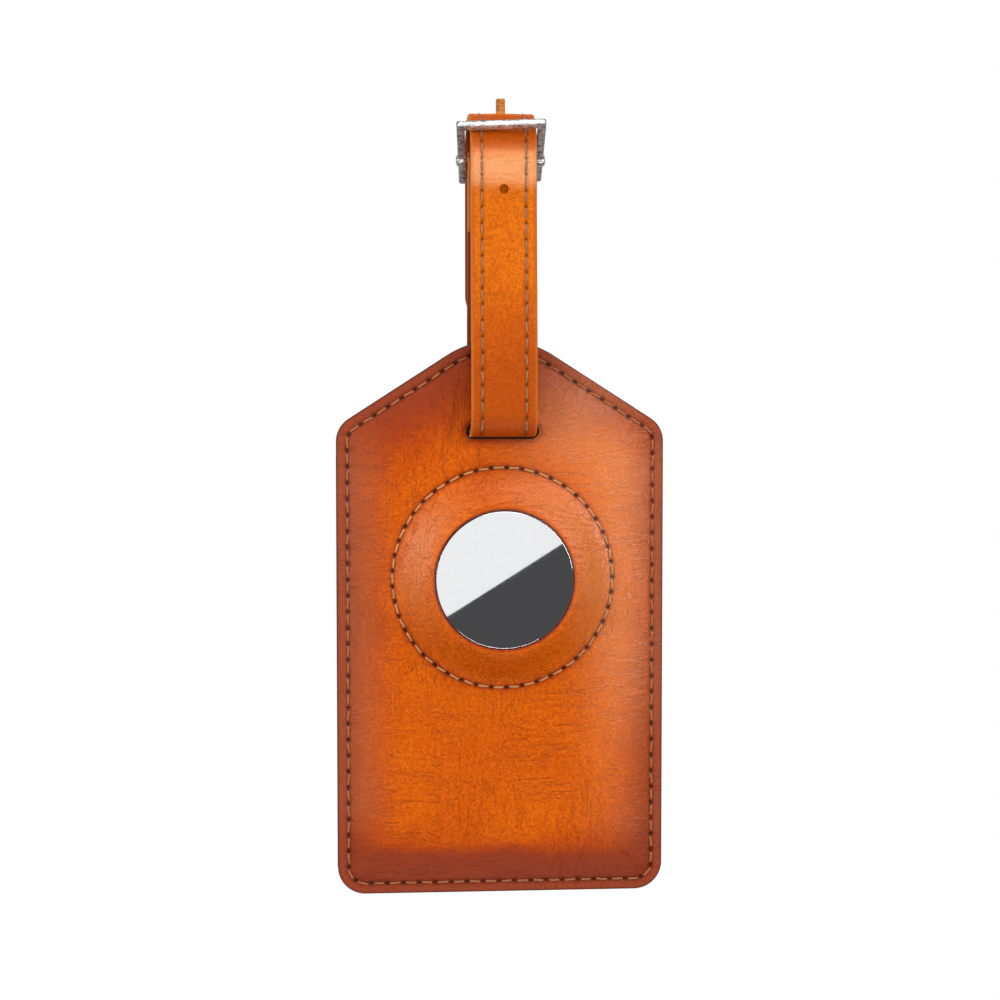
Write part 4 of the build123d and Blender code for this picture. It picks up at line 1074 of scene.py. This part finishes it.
def metal(name, colour, rough, scratch_scale, scratch, dull=0.0):
    """Plated or polished metal with fine scratches and a faint film."""
    tree = new_material(name)
    lines = tree.noise(tree.mapped(scratch_scale), detail=6, rough=0.7, warp=0.3)
    film = tree.noise(tree.mapped((0.9, 1.6, 1.6)), detail=5, rough=0.7, warp=0.6)
    tint = tree.ramp(film, (0.38, tuple(c * (1 - dull) for c in colour)), (0.56, colour))
    tree.bump(lines, scratch, 0.03)
    return tree.surface(Base_Color=tint, Metallic=1.0,
                        Roughness=tree.ramp(lines, (0.35, rough), (0.75, rough * 2.2)))


def moulded(name, colour, rough=0.35, mottle=0.06, coat=0.0):
    """Moulded plastic, board or rubber: slight mottling and a fine surface."""
    tree = new_material(name)
    cloud = tree.noise(tree.mapped(0.8))
    tree.bump(cloud, 0.15, 0.05)
    low = tuple(c * (1 - mottle) for c in colour)
    return tree.surface(Base_Color=tree.ramp(cloud, (0.3, low), (0.7, colour)), Roughness=rough,
                        Coat_Weight=coat)


def clear_film():
    tree = new_material("clear_film")
    tree.bump(tree.noise(tree.mapped(0.05), detail=2), 0.3, 0.4)
    return tree.surface(Base_Color=(0.97, 0.98, 0.98, 1), Alpha=0.22, Roughness=0.08)


def card_paper():
    """Blank card with plain ruled lines to write on."""
    tree = new_material("card_paper")
    place = tree.add("SeparateXYZ", Vector=tree.add("TexCoord").outputs["Object"])
    rows = tree.maths("FRACT", tree.maths("MULTIPLY", place.outputs[2], 1 / (9 * MM)))
    ruled = tree.maths("LESS_THAN", rows, 0.045)
    fibre = tree.noise(tree.mapped(1.2), detail=5)
    paper = tree.ramp(fibre, (0.3, (0.80, 0.78, 0.72)), (0.7, (0.88, 0.87, 0.82)))
    tree.bump(fibre, 0.2, 0.03)
    return tree.surface(Base_Color=tree.blend(ruled, paper, (0.42, 0.44, 0.48)), Roughness=0.7)


def woven(name, colour):
    tree = new_material(name)
    weave = tree.add("TexChecker", Vector=tree.mapped(3), Scale=1.0).outputs["Fac"]
    tree.bump(weave, 0.4, 0.05)
    return tree.surface(Base_Color=tree.blend(weave, colour, tuple(c * 0.6 for c in colour)), Roughness=0.85)


def dress(made, *targets):
    """Give one material to objects, or to CAD nodes by name."""
    for target in targets:
        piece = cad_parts[target] if isinstance(target, str) else target
        piece.data.materials.clear()
        piece.data.materials.append(made)


# ------------------------------------------------------------------ build
def make_edge_thread(centres, along):
    """Stitches along the body's edge, in front and behind, where some lie on the pocket."""
    x, z = centres[:, 0], centres[:, 1]
    over_pocket = (x < CARD_HIGH.x - 1.5) & (z < CARD_HIGH.z - 1.5)
    beside = (x > CARD_HIGH.x + 0.3) | (z > CARD_HIGH.z + 1.5)
    front_spots = at_level(centres, -FRONT_LEATHER + 0.1)
    rear_spots = [at_level(centres[over_pocket], BACK_LEATHER + POCKET_LEATHER - 0.08),
                  at_level(centres[beside], BACK_LEATHER - 0.08)]
    spots = np.vstack([front_spots] + rear_spots)
    directions = at_level(np.vstack([along, along[over_pocket], along[beside]]), 0)
    outs = [FRONT] * len(front_spots) + [REAR] * (len(spots) - len(front_spots))
    return stitches("edge_seam", spots, directions, outs, TAG_PITCH * 0.74, 0.19, 0.12, "tag",
                    "edge_thread")


outline, inward = tag_outline(0.2)
edge_spots, edge_along, edge_holes = seam_spots(outline + inward * SEAM_INSET, TAG_PITCH)
ring_spots, ring_along, ring_holes = seam_spots(disc_circle(RING_RADIUS, 0.1), RING_PITCH)
front = make_front_panel(edge_holes, ring_holes)
back = make_back_panel(edge_holes)
pocket, pocket_spots, pocket_along = make_card_pocket(edge_holes)
strap, lining, strap_thread = make_strap()
cover = make_cover()
edge_thread = make_edge_thread(edge_spots, edge_along)
ring_thread = stitches("ring_seam", at_level(ring_spots, THREAD_SINK - FRONT_LEATHER - BOARD),
                       at_level(ring_along, 0), [FRONT] * len(ring_spots), RING_PITCH * 0.72, 0.19, 0.14,
                       "tag", "ring_thread")
pocket_thread = stitches("pocket_seams", pocket_spots, pocket_along, [REAR] * len(pocket_spots),
                         TAG_PITCH * 0.74, 0.24, 0.12, "tag", "pocket_thread")

dress(leather("tag_leather", light=(0.60, 0.108, 0.001), mid=(0.52, 0.082, 0.001), deep=(0.23, 0.034, 0.012),
              dark=(0.06, 0.012, 0.003), edge_paint=(0.07, 0.018, 0.010), painted_sheen_colour=(0.74, 0.26, 0.07)),
      front, back, pocket)
dress(leather("strap_leather", light=(0.64, 0.145, 0.002), mid=(0.57, 0.118, 0.002),
              deep=(0.36, 0.055, 0.003), dark=(0.10, 0.03, 0.006), edge_paint=(0.55, 0.16, 0.02),
              painted_sheen_colour=(0.90, 0.42, 0.15), grain=0.5, wrinkle=0.25), strap)
# The lining's darker brown is partly painted shade: it makes the strap's holes and back leg look shaded.
dress(leather("lining_leather", light=(0.38, 0.070, 0.006), mid=(0.32, 0.055, 0.005),
              deep=(0.20, 0.035, 0.005), dark=(0.08, 0.03, 0.010), edge_paint=(0.16, 0.030, 0.006),
              painted_sheen_colour=(0.5, 0.2, 0.06), grain=0.4, wrinkle=0.2, rough=(0.5, 0.65)), lining)
dress(thread("gold_thread", (0.50, 0.14, 0.025), (0.20, 0.045, 0.008)), edge_thread, pocket_thread)
dress(thread("tan_thread", (0.72, 0.32, 0.09), (0.36, 0.12, 0.025)), ring_thread)
dress(thread("brown_thread", (0.38, 0.17, 0.07), (0.16, 0.065, 0.025)), strap_thread)
dress(metal("polished_steel", (0.88, 0.88, 0.89), 0.012, 0.6, 0.0, 0.02), cover)
dress(metal("bright_metal", (0.76, 0.75, 0.73), 0.22, (0.9, 2.4, 2.4), 0.9, 0.7),
      make_ring(), make_crossbar())
# Painted reflection: the prong's orange-brown stands in for the strap reflected in bright metal.
dress(metal("strap_reflection_painted_metal", (0.40, 0.135, 0.035), 0.25, (0.5, 2.4, 2.4), 0.4, 0.4), "buckle_prong")
dress(metal("cell_steel", (0.66, 0.66, 0.66), 0.25, 2, 0.3, 0.05), "coin_cell", "speaker_magnet")
dress(metal("contact_metal", (0.80, 0.58, 0.26), 0.2, 2, 0.2, 0.1), "contact_springs")
dress(metal("coil_copper", (0.72, 0.34, 0.18), 0.3, 4, 0.4, 0.1), "speaker_coil")
dress(moulded("white_plastic", (0.86, 0.86, 0.86), 0.12, 0.02, 0.4), "disc_shell")
dress(moulded("fibre_board", (0.10, 0.05, 0.025), 0.85, 0.25), make_board())
dress(moulded("dark_plastic", (0.03, 0.03, 0.03), 0.5), "cell_tray")
dress(moulded("chip_plastic", (0.02, 0.02, 0.02), 0.6), "board_chips")
dress(moulded("board_green", (0.02, 0.14, 0.05), 0.4), "circuit_board")
dress(moulded("seal_rubber", (0.05, 0.05, 0.05), 0.6), "cover_gasket")
dress(woven("lining_cloth", (0.12, 0.07, 0.04)), "lining_patch")
dress(clear_film(), "window_film")
dress(card_paper(), "address_card")


# ------------------------------------------------------------------ stage
VIEW_AZIMUTH = radians(-5.0)
VIEW_ELEVATION = radians(4.0)
VIEW_DISTANCE = 0.45
VIEW_SPAN = 0.1835
VIEW_TARGET = Vector((0, 0, (BASE_Z + 72.5) * MM))


def add_object(name, data):
    made = bpy.data.objects.new(name, data)
    bpy.context.scene.collection.objects.link(made)
    return made


def look_at(piece, target):
    piece.rotation_euler = (target - piece.location).to_track_quat("-Z", "Y").to_euler()


def add_camera():
    camera = add_object("camera", bpy.data.cameras.new("camera"))
    camera.data.sensor_width = 36.0
    camera.data.lens = camera.data.sensor_width * VIEW_DISTANCE / VIEW_SPAN
    camera.data.clip_start = 0.01
    flat = cos(VIEW_ELEVATION) * VIEW_DISTANCE
    camera.location = VIEW_TARGET + Vector((sin(VIEW_AZIMUTH) * flat, -cos(VIEW_AZIMUTH) * flat,
                                            sin(VIEW_ELEVATION) * VIEW_DISTANCE))
    look_at(camera, VIEW_TARGET)
    bpy.context.scene.camera = camera
    return camera


def add_light(name, location, size, watts):
    light = add_object(name, bpy.data.lights.new(name, "AREA"))
    light.data.shape = "RECTANGLE"
    light.data.size, light.data.size_y = size
    light.data.energy = watts
    light.location = location
    look_at(light, VIEW_TARGET)


def add_card(camera, half=0.07, away=0.3, slope=radians(32)):
    """Lit card behind the camera, seen only in reflections; its edge splits the one in the steel cover."""
    disc = Vector((DISC_X, COVER_LOW.y, DISC_Z)) * MM
    ray = (disc - camera.location).normalized()
    middle = disc + Vector((ray.x, -ray.y, ray.z)) * away
    along = Vector((cos(slope), 0, sin(slope))) * half
    up = Vector((-sin(slope), 0, cos(slope))) * half
    mesh = bpy.data.meshes.new("card")
    mesh.from_pydata([middle - along, middle + along, middle + along + up, middle - along + up], [],
                     [(0, 1, 2, 3)])
    card = add_object("card", mesh)
    mesh.materials.append(new_material("card").surface(
        Base_Color=rgba(0), Specular_IOR_Level=0.0, Emission_Color=(0.95, 0.96, 0.97, 1),
        Emission_Strength=1.0))
    card.visible_camera = card.visible_diffuse = card.visible_shadow = card.visible_transmission = False


def set_world():
    """White to the camera, and a soft light that is brighter from behind the tag."""
    world = bpy.data.worlds.new("studio")
    bpy.context.scene.world = world
    tree = Tree(world)
    direction = tree.add("SeparateXYZ", Vector=tree.add("TexCoord").outputs["Generated"])
    behind = tree.maths("MULTIPLY_ADD", direction.outputs[1], 0.5, 0.5)
    sky = tree.ramp(behind, (0.45, (0.07, 0.07, 0.075)), (0.8, 0.55))
    to_camera = tree.add("LightPath").outputs["Is Camera Ray"]
    background = tree.nodes["Background"]
    tree.put(background.inputs["Color"], tree.blend(to_camera, sky, (1.0, 1.0, 1.0)))
    background.inputs["Strength"].default_value = 1.0


add_card(add_camera())
add_light("left_box", (-0.50, -0.30, 0.14), (0.30, 0.55), 3.1)
add_light("right_box", (0.44, -0.38, 0.20), (0.30, 0.55), 3.0)
add_light("top_box", (0.0, -0.22, 0.58), (0.40, 0.20), 1.9)
add_light("foot_box", (0.0, -0.36, -0.50), (0.50, 0.25), 1.9)
add_light("strap_box", (0.0265, -0.30, 0.075), (0.12, 0.10), 0.15)
set_world()
bpy.context.scene.view_settings.view_transform = "Standard"
